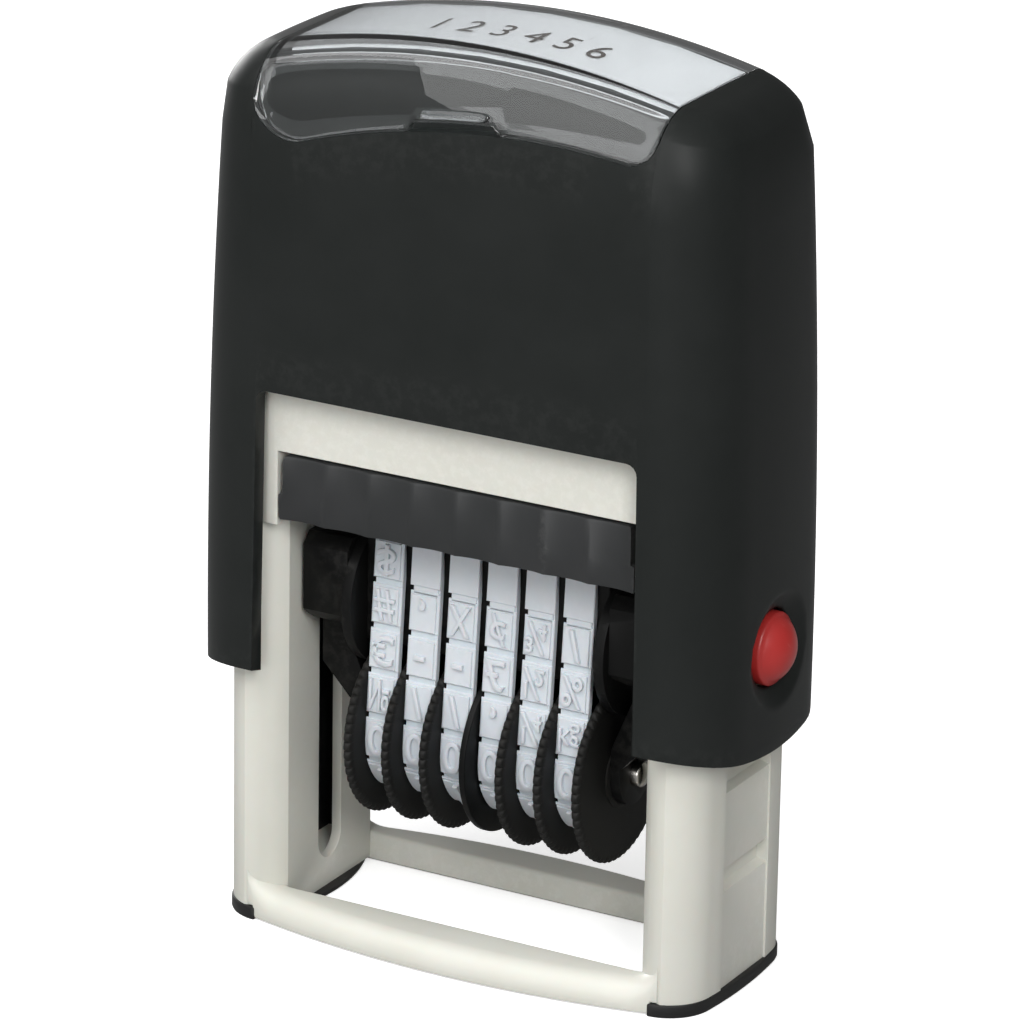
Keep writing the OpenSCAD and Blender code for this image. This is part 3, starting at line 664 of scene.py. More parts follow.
@dataclass
class Workshop:
    """Holds the finishes and puts pieces into the frame."""

    effects: SurfaceEffects = field(default_factory=SurfaceEffects)
    made: dict[str, Material] = field(default_factory=dict)

    FLAT_ANGLE = 0.5
    FINISHES = {
        "frame_plastic": MouldedFinish(
            "cream frame plastic", (0.63, 0.626, 0.562), (0.665, 0.66, 0.602), roughness=0.42,
            roughness_spread=0.07, grain_per_m=5200.0, wear_colour=(0.80, 0.80, 0.75),
            wear=0.25, dust_colour=(0.45, 0.43, 0.38), specular=0.45, subsurface=0.08),
        "cap_plastic": MouldedFinish(
            "black cap plastic", (0.0105, 0.0122, 0.0115), (0.0135, 0.0152, 0.0145), roughness=0.44,
            roughness_spread=0.05, grain_per_m=7000.0, grain_depth=0.006, wear_colour=(0.05, 0.052, 0.05),
            wear=0.12, dust_colour=(0.25, 0.25, 0.23), dust=0.02, specular=0.17),
        "foot_plastic": MouldedFinish(
            "black foot plastic", (0.010, 0.010, 0.0105), (0.014, 0.014, 0.014), roughness=0.45,
            roughness_spread=0.08, grain_per_m=5000.0, grain_depth=0.005, wear_colour=(0.06, 0.06, 0.055),
            wear=0.5, dust_colour=(0.3, 0.29, 0.26), dust=0.12, specular=0.3),
        "unit_plastic": MouldedFinish(
            "black unit plastic", (0.004, 0.0042, 0.0042), (0.0065, 0.0066, 0.0065), roughness=0.42,
            roughness_spread=0.1, grain_per_m=4200.0, wear_colour=(0.035, 0.034, 0.031),
            dust_colour=(0.2, 0.19, 0.17), dust=0.04, specular=0.12),
        "wheel_plastic": MouldedFinish(
            "black wheel plastic", (0.007, 0.0070, 0.0066), (0.011, 0.0108, 0.0100), roughness=0.60,
            roughness_spread=0.1, grain_per_m=3600.0, grain_depth=0.006, wear_colour=(0.05, 0.044, 0.036),
            wear=0.22, dust_colour=(0.2, 0.17, 0.13), specular=0.22),
        "cartridge_plastic": MouldedFinish(
            "dark cartridge plastic", (0.020, 0.0215, 0.022), (0.026, 0.027, 0.028), roughness=0.40,
            grain_per_m=6400.0, wear_colour=(0.07, 0.07, 0.07),
            wear=0.4, dust_colour=(0.2, 0.2, 0.19), dust=0.08, specular=0.35),
        "pad_felt": MouldedFinish(
            "inked felt", (0.006, 0.006, 0.012), (0.018, 0.016, 0.03), roughness=0.85,
            roughness_spread=0.1, grain_per_m=2600.0, grain_depth=0.12, wear_colour=(0.03, 0.03, 0.05),
            wear=0.4, dust_colour=(0.05, 0.05, 0.07), specular=0.3, subsurface=0.0, sheen=0.4),
        "band_rubber": MouldedFinish(
            "grey band rubber", (0.54, 0.57, 0.61), (0.59, 0.62, 0.65), roughness=0.55,
            grain_per_m=5200.0, grain_depth=0.006, wear_colour=(0.72, 0.74, 0.78),
            dust_colour=(0.30, 0.31, 0.34), dust=0.14, specular=0.4, subsurface=0.12),
        "card_paper": MouldedFinish(
            "white card", (0.74, 0.74, 0.745), (0.77, 0.77, 0.775), roughness=0.75, roughness_spread=0.05,
            grain_per_m=3000.0, grain_depth=0.01, wear_colour=(0.85, 0.85, 0.85), wear=0.1,
            dust_colour=(0.6, 0.6, 0.6), dust=0.05, specular=0.3),
        "button_plastic": MouldedFinish(
            "red button plastic", (0.36, 0.020, 0.018), (0.42, 0.025, 0.022), roughness=0.36,
            roughness_spread=0.05, grain_depth=0.003, wear_colour=(0.50, 0.10, 0.09),
            wear=0.2, dust_colour=(0.5, 0.3, 0.3), dust=0.04, subsurface=0.03),
        "axle_steel": MetalFinish(
            "turned steel", (0.62, 0.60, 0.56), roughness=0.14, streak_per_m=9000.0,
            stretch=(0.1, 1.0, 1.0)),
        "spring_steel": MetalFinish(
            "spring wire", (0.50, 0.50, 0.49), roughness=0.25, streak_per_m=7000.0,
            stretch=(1.0, 1.0, 0.2)),
        "crank_metal": MetalFinish("zinc plate", (0.48, 0.48, 0.46), roughness=0.34, streak_per_m=2500.0),
        "window_clear": ClearFinish("clear window plastic", (0.93, 0.95, 0.96), 0.015),
    }
    INK = MouldedFinish(
        "printed digits", (0.075, 0.060, 0.050), (0.095, 0.078, 0.066), roughness=0.7,
        roughness_spread=0.05, grain_per_m=3000.0, grain_depth=0.002, wear_colour=(0.3, 0.28, 0.26),
        wear=0.1, dust_colour=(0.4, 0.4, 0.4), dust=0.02)

    def finish(self, slot: str) -> Material:
        """The material of one of the record's slots.

        Args:
            slot: The name of the slot.

        Returns:
            The material.
        """
        if slot not in self.made:
            self.made[slot] = self.FINISHES[slot].material(self.effects)
        return self.made[slot]

    def place(
            self, piece: Object, body: str, slot: str, nodes: Sequence[str] = (),
    ) -> None:
        """Gives a piece its finish and hangs it on its body.

        Args:
            piece: The object, in place.
            body: The body that it moves with.
            slot: The slot that its finish comes from.
            nodes: The nodes of the frame that it stands for.
        """
        piece.data.materials.clear()
        piece.data.materials.append(self.finish(slot))
        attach(piece, body)
        if nodes:
            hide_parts(*nodes)
        log.info("%s: %d faces on %s", piece.name, len(piece.data.polygons), body)

    def dress(self, node: str, slot: str) -> None:
        """Gives a node that stays its finish.

        Args:
            node: The node's name.
            slot: The slot that its finish comes from.
        """
        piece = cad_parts[node]
        piece.data.materials.clear()
        piece.data.materials.append(self.finish(slot))
        log.info("%s keeps its own mesh", node)

    def round_off(self, node: str, name: str, width: float, body: str, slot: str) -> None:
        """Puts a copy of a node's mesh with rounded edges in its place.

        Args:
            node: The node.
            name: The new piece's name.
            width: The width of the rounding.
            body: The body that the piece moves with.
            slot: The slot that its finish comes from.
        """
        piece = add_object(name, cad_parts[node].data.copy())
        shape = bmesh.new()
        shape.from_mesh(piece.data)
        bmesh.ops.remove_doubles(shape, verts=shape.verts, dist=WELD)
        bmesh.ops.dissolve_limit(
            shape, angle_limit=radians(self.FLAT_ANGLE), use_dissolve_boundaries=False,
            verts=shape.verts, edges=shape.edges, delimit=set())
        shape.to_mesh(piece.data)
        shape.free()
        soften(piece, width)
        shade(piece)
        self.place(piece, body, slot, [node])


# ---- the cap ----


@dataclass(frozen=True)
class CapForm:
    """The outer form of the cap: leaning walls, bowed ends and an arched crown."""

    width: float = 62.4
    depth: float = 27.9
    lean: float = 0.4
    bottom: float = 28.8
    skirt_drop: float = 2.0
    top: float = 96.8
    crown_r: float = 92.0
    shoulder_r: float = 5.0
    brow_r: float = 6.5
    corner_r: float = 8.0
    bow_r: float = 60.0
    side_r: float = 780.0
    widest_z: float = 36.0
    reach_t: float = 2.2

    def half_width(self, z: float) -> float:
        """Half the width at a height."""
        return self.width / 2 - (z - self.widest_z) ** 2 / (2 * self.side_r)

    def half_depth(self, z: float) -> float:
        """Half the depth at a height."""
        return self.depth / 2 - self.lean * (z - self.bottom) / (self.top - self.bottom)

    def crown(self, x: float) -> float:
        """Height of the crown at a place along X."""
        return self.top - x * x / (2 * self.crown_r)

    @property
    def brow_z(self) -> float:
        """Height whose outline the rounded upper edge starts from."""
        return self.crown(self.width / 2) - self.shoulder_r

    def skirt(self, y: float) -> float:
        """Height of the lower edge at a place along Y.

        Args:
            y: The place.

        Returns:
            The height.
        """
        half = self.depth / 2
        r = (half * half + self.skirt_drop * self.skirt_drop) / (2 * self.skirt_drop)
        return self.bottom - self.skirt_drop + r - sqrt(r * r - min(y * y, half * half))

    def outline(self, t: float, z: float, inset: float) -> tuple[Flat, Flat]:
        """A point of the right front quarter of the outline at a height.

        Args:
            t: 0 to 1 along the flat front, 1 to 2 round the corner, 2 to 3 along the bowed end.
            z: The height.
            inset: How far inside the outer form.

        Returns:
            The point and its outward normal.
        """
        half_w, half_d = self.half_width(z) - inset, self.half_depth(z) - inset
        r, bow = self.corner_r - inset, self.bow_r - inset
        tilt = asin((half_d - r) / (bow - r))
        cx = half_w - bow + (bow - r) * cos(tilt)
        if t <= 1:
            return (cx * t, -half_d), (0.0, -1.0)
        if t <= 2:
            a = -pi / 2 + (pi / 2 - tilt) * (t - 1)
            normal = (cos(a), sin(a))
            return (cx + r * normal[0], r - half_d + r * normal[1]), normal
        a = -tilt * (3 - t)
        normal = (cos(a), sin(a))
        return (half_w - bow + bow * normal[0], bow * normal[1]), normal

    def _brow(self, t: float, inset: float) -> tuple[Flat, Flat, float]:
        """Where the rounded upper edge starts on the outline, its normal there and its radius.

        Args:
            t: The place along the outline.
            inset: The distance inward.

        Returns:
            The point, the normal and the radius.
        """
        p, n = self.outline(t, self.brow_z, inset)
        radius = self.brow_r * n[1] * n[1] + self.shoulder_r * n[0] * n[0] - inset
        return p, n, radius

    def brow(self, t: float, turn: float, inset: float, roof: float) -> Point:
        """A point of the rounded upper edge.

        Args:
            t: The place along the outline.
            turn: 0 at the wall to 1 at the crown.
            inset: How far inside the outer form.
            roof: How far the crown lies below the outer one.

        Returns:
            The point.
        """
        p, n, radius = self._brow(t, inset)
        a = turn * pi / 2
        x = p[0] - (self.shoulder_r - inset) * (1 - cos(a)) * n[0]
        y = p[1] - (self.brow_r - inset) * (1 - cos(a)) * n[1]
        return x, y, self.crown(x) - roof - radius * (1 - sin(a))

    def brow_start(self, t: float, inset: float, roof: float) -> float:
        """Height at which the rounded upper edge starts at a place along the outline."""
        p, _, radius = self._brow(t, inset)
        return self.crown(p[0]) - roof - radius

    def brow_length(self, t: float, inset: float) -> float:
        """Length of the rounded upper edge over its quarter turn."""
        return self._brow(t, inset)[2] * pi / 2

    def point(self, t: float, q: float, inset: float, roof: float) -> Point:
        """A point of the skin, front right quarter.

        Args:
            t: The place along the outline.
            q: The height, or past the start of the brow the length along it.
            inset: How far inside the outer form.
            roof: How far the crown lies below the outer one.

        Returns:
            The point.
        """
        start = self.brow_start(t, inset, roof)
        if q <= start:
            p, _ = self.outline(t, q, inset)
            return p[0], p[1], q
        turn = min((q - start) / self.brow_length(t, inset), 1.0)
        return self.brow(t, turn, inset, roof)

    def locate(self, x: float, q: float, inset: float, roof: float) -> float:
        """Finds the place along the outline where the skin has an x that is not negative."""
        return bisect(lambda t: self.point(t, q, inset, roof)[0] - x, 0.0, self.reach_t)

    def end_x(self, y: float, z: float, inset: float) -> float:
        """Place of the bowed end at a point of the end view."""
        bow = self.bow_r - inset
        return self.half_width(z) - inset - bow + sqrt(bow * bow - y * y)


@dataclass(frozen=True)
class IndexOutline:
    """The outline of the index window in the front view."""

    half_w: float = 22.4
    edge_z: float = 89.9
    edge_x: float = 9.0
    edge_r: float = 83.0
    left_r: float = 4.5
    right_r: float = 2.5

    @property
    def centre_z(self) -> float:
        """Height of the centre of the lower edge's arc."""
        return self.edge_z - self.edge_r

    def _corner(self, side: int, grow: float) -> tuple[Flat, float, Flat]:
        """The rounding of a lower corner.

        Args:
            side: The corner's side.
            grow: How far the outline is grown.

        Returns:
            The centre, the radius, and the point where it leaves the arc.
        """
        r = (self.left_r if side < 0 else self.right_r) + grow
        cx = side * (self.half_w + grow - r)
        arc_r = self.edge_r - grow
        zc = self.centre_z
        cz = zc + sqrt((arc_r + r) ** 2 - (cx - self.edge_x) ** 2)
        share = arc_r / (arc_r + r)
        touch = (self.edge_x + (cx - self.edge_x) * share, zc + (cz - zc) * share)
        return (cx, cz), r, touch

    def lower_edge(self, x: float, grow: float = 0.0) -> float:
        """Height of the lower edge, with its rounded corners.

        Args:
            x: The place along X.
            grow: How far the outline is grown.

        Returns:
            The height.
        """
        for side in SIDES:
            centre, r, touch = self._corner(side, grow)
            if side * (x - touch[0]) > 0:
                reach = min(abs(x - centre[0]), r)
                return centre[1] - sqrt(r * r - reach * reach)
        shifted = self.edge_r - grow
        return self.centre_z + sqrt(shifted ** 2 - (x - self.edge_x) ** 2)

    def columns(self, grow: float = 0.0) -> list[float]:
        """Places along X of a grid that follows the outline.

        Args:
            grow: How far the outline is grown.

        Returns:
            The places, from left to right.
        """
        left, left_r, left_touch = self._corner(-1, grow)
        right, right_r, right_touch = self._corner(1, grow)
        start = degrees(asin((left_touch[0] - left[0]) / left_r))
        end = degrees(asin((right_touch[0] - right[0]) / right_r))
        xs = [left[0] + left_r * sin(radians(a)) for a in spread(-90, start, 12)]
        xs += spread(left_touch[0], right_touch[0], 30)[1:-1]
        xs += [right[0] + right_r * sin(radians(a)) for a in spread(end, 90, 10)]
        return xs


@dataclass
class SkinGrid:
    """A grid of points over the cap's form, front half, that can follow drawn edges."""

    form: CapForm
    inset: float
    roof: float
    middle: Sequence[float]
    window_top: Callable[[float], float]
    seat_edge: Callable[[float], float]
    low_shares: tuple[float, ...] = (0.0, 0.04, 0.109, 0.2, 0.3, 0.4, 0.5, 0.566, 0.68, 0.79, 0.9, 1.0)
    wall_z: float = 60.0
    near_brow_z: float = 84.0
    splay_x: float = 21.7
    splay: float = 0.0127
    mid_rows: int = 8
    brow_rows: int = 18
    crown_rows: int = 6
    corner_steps: int = 12
    end_steps: int = 8

    def column_keys(self) -> list[tuple[int, float, bool]]:
        """The columns from the left end to the right end.

        Returns:
            For each, its side, its x or its share past the middle part, and whether it is in the middle.
        """
        shares = spread(0, 1, self.corner_steps)[1:] + [1 + s for s in spread(0, 1, self.end_steps)[1:]]
        keys = [(-1, share, False) for share in reversed(shares)]
        keys += [(-1 if x < 0 else 1, x, True) for x in self.middle]
        keys += [(1, share, False) for share in shares]
        return keys

    def _t(self, side: int, value: float, middle: bool, q: float) -> float:
        """The place along the outline of a column at a height.

        Args:
            side: The column's side.
            value: Its x, or its share past the middle part.
            middle: Whether it is in the middle part.
            q: The height, or past the start of the brow the length along it.

        Returns:
            The place along the outline.
        """
        edge = abs(self.middle[0] if side < 0 else self.middle[-1])
        if middle:
            return self.form.locate(abs(value), q, self.inset, self.roof)
        start = self.form.locate(edge, q, self.inset, self.roof)
        return start + (2 - start) * value if value <= 1 else 1 + value

    def column(self, side: int, value: float, middle: bool) -> list[Point]:
        """The points of one column, from the lower edge to the middle of the crown.

        Args:
            side: The column's side.
            value: Its x, or its share past the middle part.
            middle: Whether it is in the middle part.

        Returns:
            The points.
        """
        form, inset, roof = self.form, self.inset, self.roof
        edge_x = self.middle[0] if side < 0 else self.middle[-1]
        x_key = value if middle else edge_x
        t_mid = self._t(side, value, middle, self.wall_z)
        t_brow = self._t(side, value, middle, self.near_brow_z)
        foot = form.outline(t_mid, form.bottom, inset)[0]
        start = form.brow_start(t_brow, inset, roof)
        low, window = form.skirt(foot[1]), self.window_top(x_key)
        seat = self.seat_edge(x_key)
        key_t = self._t(side, x_key, True, self.near_brow_z)
        key_start = form.brow_start(key_t, 0.0, 0.0)
        if seat > key_start:
            drop = form.crown(x_key) - seat
            turn = asin(max(0.0, 1 - drop / form.brow_r)) / (pi / 2)
            seat_q = start + turn * form.brow_length(t_brow, inset)
        else:
            seat_q = start + (seat - key_start)
        end = start + form.brow_length(t_brow, inset)
        heights = [low + (window - low) * f for f in self.low_shares]
        heights += spread(window, seat_q, self.mid_rows)[1:]
        heights += spread(seat_q, end, self.brow_rows)[1:]
        points = []
        for q in heights:
            t = self._t(side, value, middle, q)
            x, y, z = form.point(t, q, inset, roof)
            if middle and abs(abs(value) - self.splay_x) < SAME:
                x += self.splay * max(0.0, window - z)
            points.append((side * x, y, z))
        x, y, z = points[-1]
        points += [(x, y * (1 - f), z) for f in spread(0, 1, self.crown_rows)[1:]]
        return points

    @property
    def window_row(self) -> int:
        """The row along the top of the window."""
        return len(self.low_shares) - 1

    @property
    def seat_row(self) -> int:
        """The row along the edge of the index window."""
        return self.window_row + self.mid_rows

    @property
    def last_row(self) -> int:
        """The row along the middle of the crown."""
        return self.seat_row + self.brow_rows + self.crown_rows


@dataclass
class Cap:
    """The black cap with its window, seat for the index window and thumb dishes."""

    shop: Workshop
    form: CapForm = CapForm()
    index: IndexOutline = IndexOutline()
    wall: float = 1.8
    roof: float = 3.4
    seat_depth: float = 1.6
    seat_play: float = 0.1
    window_half: float = 21.7
    window_z: float = 59.1
    window_r: float = 1.2
    least_step: float = 0.12
    button_z: float = BUTTON_Z
    dish_rows: tuple[int, int] = (2, 7)
    dish_blend: tuple[float, ...] = (0.35, 0.7, 1.0)
    hole_ease: float = 0.6
    dish: tuple[Flat, ...] = (
        (6.35, 0.0), (6.1, 0.03), (5.85, 0.12), (5.6, 0.27), (5.2, 0.52), (4.8, 0.76), (4.5, 0.93),
        (4.3, 1.05), (4.17, 1.15), (4.1, 1.3))
    edge_round: float = 0.3

    def _window_top(self, x: float) -> float:
        """Height of the top of the front window, with its rounded corners.

        Args:
            x: The place along X.

        Returns:
            The height.
        """
        reach = abs(x) - (self.window_half - self.window_r)
        if reach <= 0:
            return self.window_z
        reach = min(reach, self.window_r)
        return self.window_z - self.window_r + sqrt(self.window_r ** 2 - reach ** 2)

    def _seat_edge(self, x: float) -> float:
        """Height of the lower edge of the seat."""
        return self.index.lower_edge(x, self.seat_play)

    def _middle(self) -> list[float]:
        """Places along X of the middle columns, which follow the window and the seat.

        Returns:
            The places from left to right.
        """
        xs = self.index.columns(self.seat_play)
        flat = self.window_half - self.window_r
        ring = [flat + self.window_r * sin(radians(a)) for a in (0, 22, 45, 68, 90)]
        kept = [x for x in xs if all(abs(abs(x) - r) > self.least_step for r in ring)]
        return sorted(kept + ring + [-r for r in ring])

    def grid(self, inset: float, roof: float) -> SkinGrid:
        """The grid of one skin of the cap."""
        return SkinGrid(self.form, inset, roof, self._middle(), self._window_top, self._seat_edge)

    def _skin(
            self, shape: Moulding, grid: SkinGrid, keep: Callable[[int, int], bool], outward: bool,
    ) -> tuple[Half, Half]:
        """Adds the front and back halves of one skin.

        Args:
            shape: The moulding that is added to.
            grid: The grid of the skin.
            keep: Tells whether the face at a column and row is made.
            outward: Whether the faces look out.

        Returns:
            The corner numbers of the front and of the back, by column and row.
        """
        columns = [grid.column(*key) for key in grid.column_keys()]
        front = [shape.add(column) for column in columns]
        back = [shape.add([(x, -y, z) for x, y, z in column]) for column in columns]
        for half, flip in ((front, False), (back, True)):
            for i in range(len(half) - 1):
                for k in range(len(half[0]) - 1):
                    if keep(i, k):
                        face = (half[i][k], half[i + 1][k], half[i + 1][k + 1], half[i][k + 1])
                        shape.faces.append(face if flip != outward else tuple(reversed(face)))
        return front, back

    def _dish_patch(
            self, shape: Moulding, halves: tuple[Half, Half], side: int, inset: float,
            profile: Sequence[Flat],
    ) -> list[int]:
        """Fills the ring between the grid and the thumb dish of one end.

        Args:
            shape: The moulding that is added to.
            halves: The corner numbers of the skin.
            side: The end's side.
            inset: How far inside the outer form.
            profile: Radius and depth of each ring of the dish.

        Returns:
            The numbers of the innermost ring.
        """
        front, back = halves
        steps = SkinGrid.end_steps
        near = list(range(steps, -1, -1) if side < 0 else range(len(front) - 1 - steps, len(front)))
        low, high = self.dish_rows
        loop = [front[i][low] for i in near] + [back[i][low] for i in reversed(near[:-1])]
        loop += [back[near[0]][k] for k in range(low + 1, high)]
        loop += [back[i][high] for i in near] + [front[i][high] for i in reversed(near[:-1])]
        loop += [front[near[0]][k] for k in range(high - 1, low, -1)]
        places = [shape.corners[n] for n in loop]
        steps_in = [(profile[0][0], share, 0.0) for share in self.dish_blend]
        steps_in += [(radius, 1.0, depth) for radius, depth in profile[1:]]
        rings = [loop]
        for radius, share, depth in steps_in:
            ring = []
            for _, y, z in places:
                a = atan2(z - self.button_z, y)
                y1 = y + (radius * cos(a) - y) * share
                z1 = z + (self.button_z + radius * sin(a) - z) * share
                ring.append((side * (self.form.end_x(y1, z1, inset) - depth), y1, z1))
            rings.append(shape.add(ring))
        for outer, inner in zip(rings, rings[1:]):
            shape.strip(outer, inner, closed=True)
        return rings[-1]

    def build(self) -> None:
        """Builds the cap's shell."""
        shape = Moulding()
        outer, inner = self.grid(0.0, 0.0), self.grid(self.wall, self.roof)
        seat = self.grid(self.seat_depth, self.seat_depth)
        middle = self._middle()
        first = outer.corner_steps + outer.end_steps
        last = first + len(middle) - 1
        window = [first + i for i, x in enumerate(middle) if abs(abs(x) - self.window_half) < SAME]
        columns = last + first + 1
        ends = (outer.end_steps, columns - 1 - outer.end_steps)

        def in_dish(i: int, k: int) -> bool:
            """Whether a face is in the open patch round a dish."""
            return self.dish_rows[0] <= k < self.dish_rows[1] and (i < ends[0] or i >= ends[1])

        def in_window(i: int, k: int) -> bool:
            """Whether a face is in the front or back window."""
            return window[0] <= i < window[1] and k < outer.window_row

        def in_seat(i: int, k: int) -> bool:
            """Whether a face is in the seat of the index window."""
            return first <= i < last and k >= outer.seat_row

        def in_wall(i: int, k: int) -> bool:
            """Whether a face is in the wall round the windows and dishes."""
            return not (in_dish(i, k) or in_window(i, k))

        def window_rim(half: Half) -> list[int]:
            """The lower edge of a half, with its window.

            Args:
                half: The columns of the half.

            Returns:
                The corners in order.
            """
            start, end = window
            top = outer.window_row
            rim = [half[i][0] for i in range(start + 1)] + [half[start][k] for k in range(1, top)]
            rim += [half[i][top] for i in range(start, end + 1)]
            rim += [half[end][k] for k in range(top - 1, 0, -1)]
            return rim + [half[i][0] for i in range(end, columns)]

        def seat_rim(half: Half) -> list[int]:
            """The edge of the seat of the index window in a half.

            Args:
                half: The columns of the half.

            Returns:
                The corners in order.
            """
            rim = [half[first][k] for k in range(outer.last_row, outer.seat_row, -1)]
            rim += [half[i][outer.seat_row] for i in range(first, last + 1)]
            return rim + [half[last][k] for k in range(outer.seat_row + 1, outer.last_row + 1)]

        skin_out = self._skin(shape, outer, lambda i, k: in_wall(i, k) and not in_seat(i, k), True)
        skin_in = self._skin(shape, inner, in_wall, False)
        skin_seat = self._skin(shape, seat, in_seat, True)
        for outside, inside in zip(skin_out, skin_in):
            shape.strip(window_rim(outside), window_rim(inside))
        for outside, floor in zip(skin_out, skin_seat):
            shape.strip(seat_rim(outside), seat_rim(floor))
        hole_r = self.dish[-1][0]
        hole = ((hole_r + self.hole_ease, 0.0), (hole_r, 0.0))
        for side in SIDES:
            outer_ring = self._dish_patch(shape, skin_out, side, 0.0, self.dish)
            inner_ring = self._dish_patch(shape, skin_in, side, self.wall, hole)
            shape.strip(outer_ring, inner_ring, closed=True)
        piece = shape.build("cap_body")
        soften(piece, self.edge_round, 50.0)
        shade(piece, 40.0)
        self.shop.place(piece, "cap", "cap_plastic", ["cap_shell"])


@dataclass
class IndexWindow:
    """The clear index window with its flaps, and the card with its digits."""

    shop: Workshop
    form: CapForm = CapForm()
    index: IndexOutline = IndexOutline()
    thickness: float = 1.2
    crease_turn: float = 58.8
    crease_drift: float = 0.29
    crease_round: float = 0.35
    flap_bulge: float = 0.12
    catch: Flat = (-4.7, 5.5)
    catch_ramp: float = 0.5
    catch_rise: float = 0.9
    ridge: Flat = (-3.4, 4.4)
    ridge_offset: float = 0.25
    ridge_h: float = 1.1
    ridge_out: float = 0.45
    ridge_root: float = 0.25
    ridge_fullness: float = 0.7
    edge_round: float = 0.22
    least_step: float = 0.3
    flap_steps: int = 8
    digit_size: float = 4.3
    digit_squeeze: float = 0.74
    digit_step: float = 3.54
    digits: str = "123456"
    digits_x: float = 0.75
    digits_y: float = -0.85
    digit_sink: float = 0.03

    def _lower_edge(self, x: float) -> float:
        """Height of the pane's lower edge, raised at the finger catch.

        Args:
            x: The place along X.

        Returns:
            The height.
        """
        left, right = self.catch
        share = min(1.0, max(0.0, min(x - left, right - x) / self.catch_ramp))
        return self.index.lower_edge(x) + self.catch_rise * share

    def _on_skin(self, x: float, z: float, inset: float) -> float:
        """Place along Y of the cap's front at a height, inset.

        Args:
            x: The place along X.
            z: The height.
            inset: The distance inward.

        Returns:
            The place along Y.
        """
        r = self.form.brow_r - inset
        drop = self.form.crown(x) - inset - z
        if drop >= r:
            return inset - self.form.half_depth(z)
        a = asin(1 - drop / r)
        return inset - self.form.half_depth(self.form.brow_z) + r * (1 - cos(a))

    def section(self, x: float, inset: float) -> list[Point]:
        """One section of the pane's front half, from its lower edge to the middle.

        Args:
            x: Its place along X.
            inset: How far it lies inside the cap's form.

        Returns:
            The points.
        """
        r = self.form.brow_r - inset
        middle_y = inset - self.form.half_depth(self.form.brow_z) + r
        middle_z = self.form.crown(x) - inset - r
        edge_z = self._lower_edge(x)
        edge = Vector((self._on_skin(x, edge_z, inset), edge_z))
        crease_a = self.crease_turn + self.crease_drift * x
        upper = [Vector(p) for p in arc((middle_y, middle_z), r, 180 - crease_a, 90, 9)]
        crease = upper[0]
        down = (edge - crease).normalized()
        out = Vector((-abs(down.y), -down.x))
        flap = []
        for share in spread(0, 1, self.flap_steps)[:-1]:
            bulge = self.flap_bulge * 4 * share * (1 - share)
            flap.append(edge.lerp(crease + down * self.crease_round, share) + out * bulge)
        before, after = crease + down * self.crease_round, crease.lerp(upper[1], 0.6)
        bend = [before * (1 - w) ** 2 + crease * 2 * w * (1 - w) + after * w ** 2 for w in spread(0, 1, 4)]
        line = flap + bend + upper[1:]
        top = line[-1]
        line += [Vector((top.x * (1 - w), top.y)) for w in spread(0, 1, 4)[1:]]
        return [(x, p.x, p.y) for p in line]

    def pane(self) -> None:
        """Builds the clear pane with its two flaps and the ridges of its finger catches."""
        shape = Moulding()
        left, right = self.catch
        marks = [left, left + self.catch_ramp, right - self.catch_ramp, right]
        free = [x for x in self.index.columns() if all(abs(x - m) > self.least_step for m in marks)]
        xs = sorted(free + marks)
        sheets = []
        for inset in (0.0, self.thickness):
            columns = [self.section(x, inset) for x in xs]
            sheets.append([[shape.add([(x, s * y, z) for x, y, z in c]) for c in columns] for s in (1, -1)])
        for halves in sheets:
            for half in halves:
                for a, b in zip(half, half[1:]):
                    shape.strip(a, b)
        for outside, inside in zip(*sheets):
            rims = [half[0][:0:-1] + [c[0] for c in half] + half[-1][1:] for half in (outside, inside)]
            shape.strip(*rims)
        for s in (1, -1):
            self._ridge(shape, s)
        piece = shape.build("index_pane")
        soften(piece, self.edge_round, 50.0, 2)
        shade(piece, 50.0)
        self.shop.place(piece, "index_cover", "window_clear", ["index_window"])

    def _ridge(self, shape: Moulding, side: int) -> None:
        """Adds the rounded ridge over one finger catch.

        Args:
            shape: The moulding that is added to.
            side: 1 for the front one, -1 for the back one.
        """
        left, right = self.ridge
        rings = []
        for x in spread(left, right, 24):
            share = abs(2 * (x - left) / (right - left) - 1)
            round_off = sqrt(max(0.02, 1 - share ** 8))
            foot, head = (Vector(self.section(x, 0.0)[k][1:]) for k in (0, self.flap_steps))
            along = (head - foot).normalized()
            out = Vector((-along.y, along.x))
            centre = foot + along * (self.ridge_offset + self.ridge_h / 2)
            ring = []
            for a in spread(0, 180, 10):
                w = -cos(radians(a)) * self.ridge_h / 2 * round_off
                rise = self.ridge_out * sin(radians(a)) ** self.ridge_fullness * round_off
                ring.append(centre + along * w + out * rise)
            reach, root = along * (self.ridge_h / 2 * round_off), out * self.ridge_root
            ring += [centre + reach - root, centre - reach - root]
            rings.append([(x, side * p.x, p.y) for p in ring])
        shape.rings(rings)

    def card_digits(self) -> None:
        """Builds the digits printed on the card."""
        shape = Moulding()
        step = self.digit_step
        start = self.digits_x - step * (len(self.digits) - 1) / 2
        drop = self.thickness + self.digit_sink
        style = Lettering(self.digit_size)
        for i, digit in enumerate(self.digits):
            middle = start + i * step
            corners, faces = style.solid(digit)
            places = [
                (u * self.digit_squeeze + middle, v + self.digits_y, self.form.crown(u + middle) - drop)
                for u, v, _ in corners]
            shape.join(places, faces)
        piece = shape.build("card_digits")
        self.shop.place(piece, "cap", "card_paper")
        piece.data.materials.clear()
        piece.data.materials.append(self.shop.INK.material(self.shop.effects))

    def build(self) -> None:
        """Builds the pane and the card."""
        self.pane()
        self.shop.dress("index_card", "card_paper")
        self.card_digits()


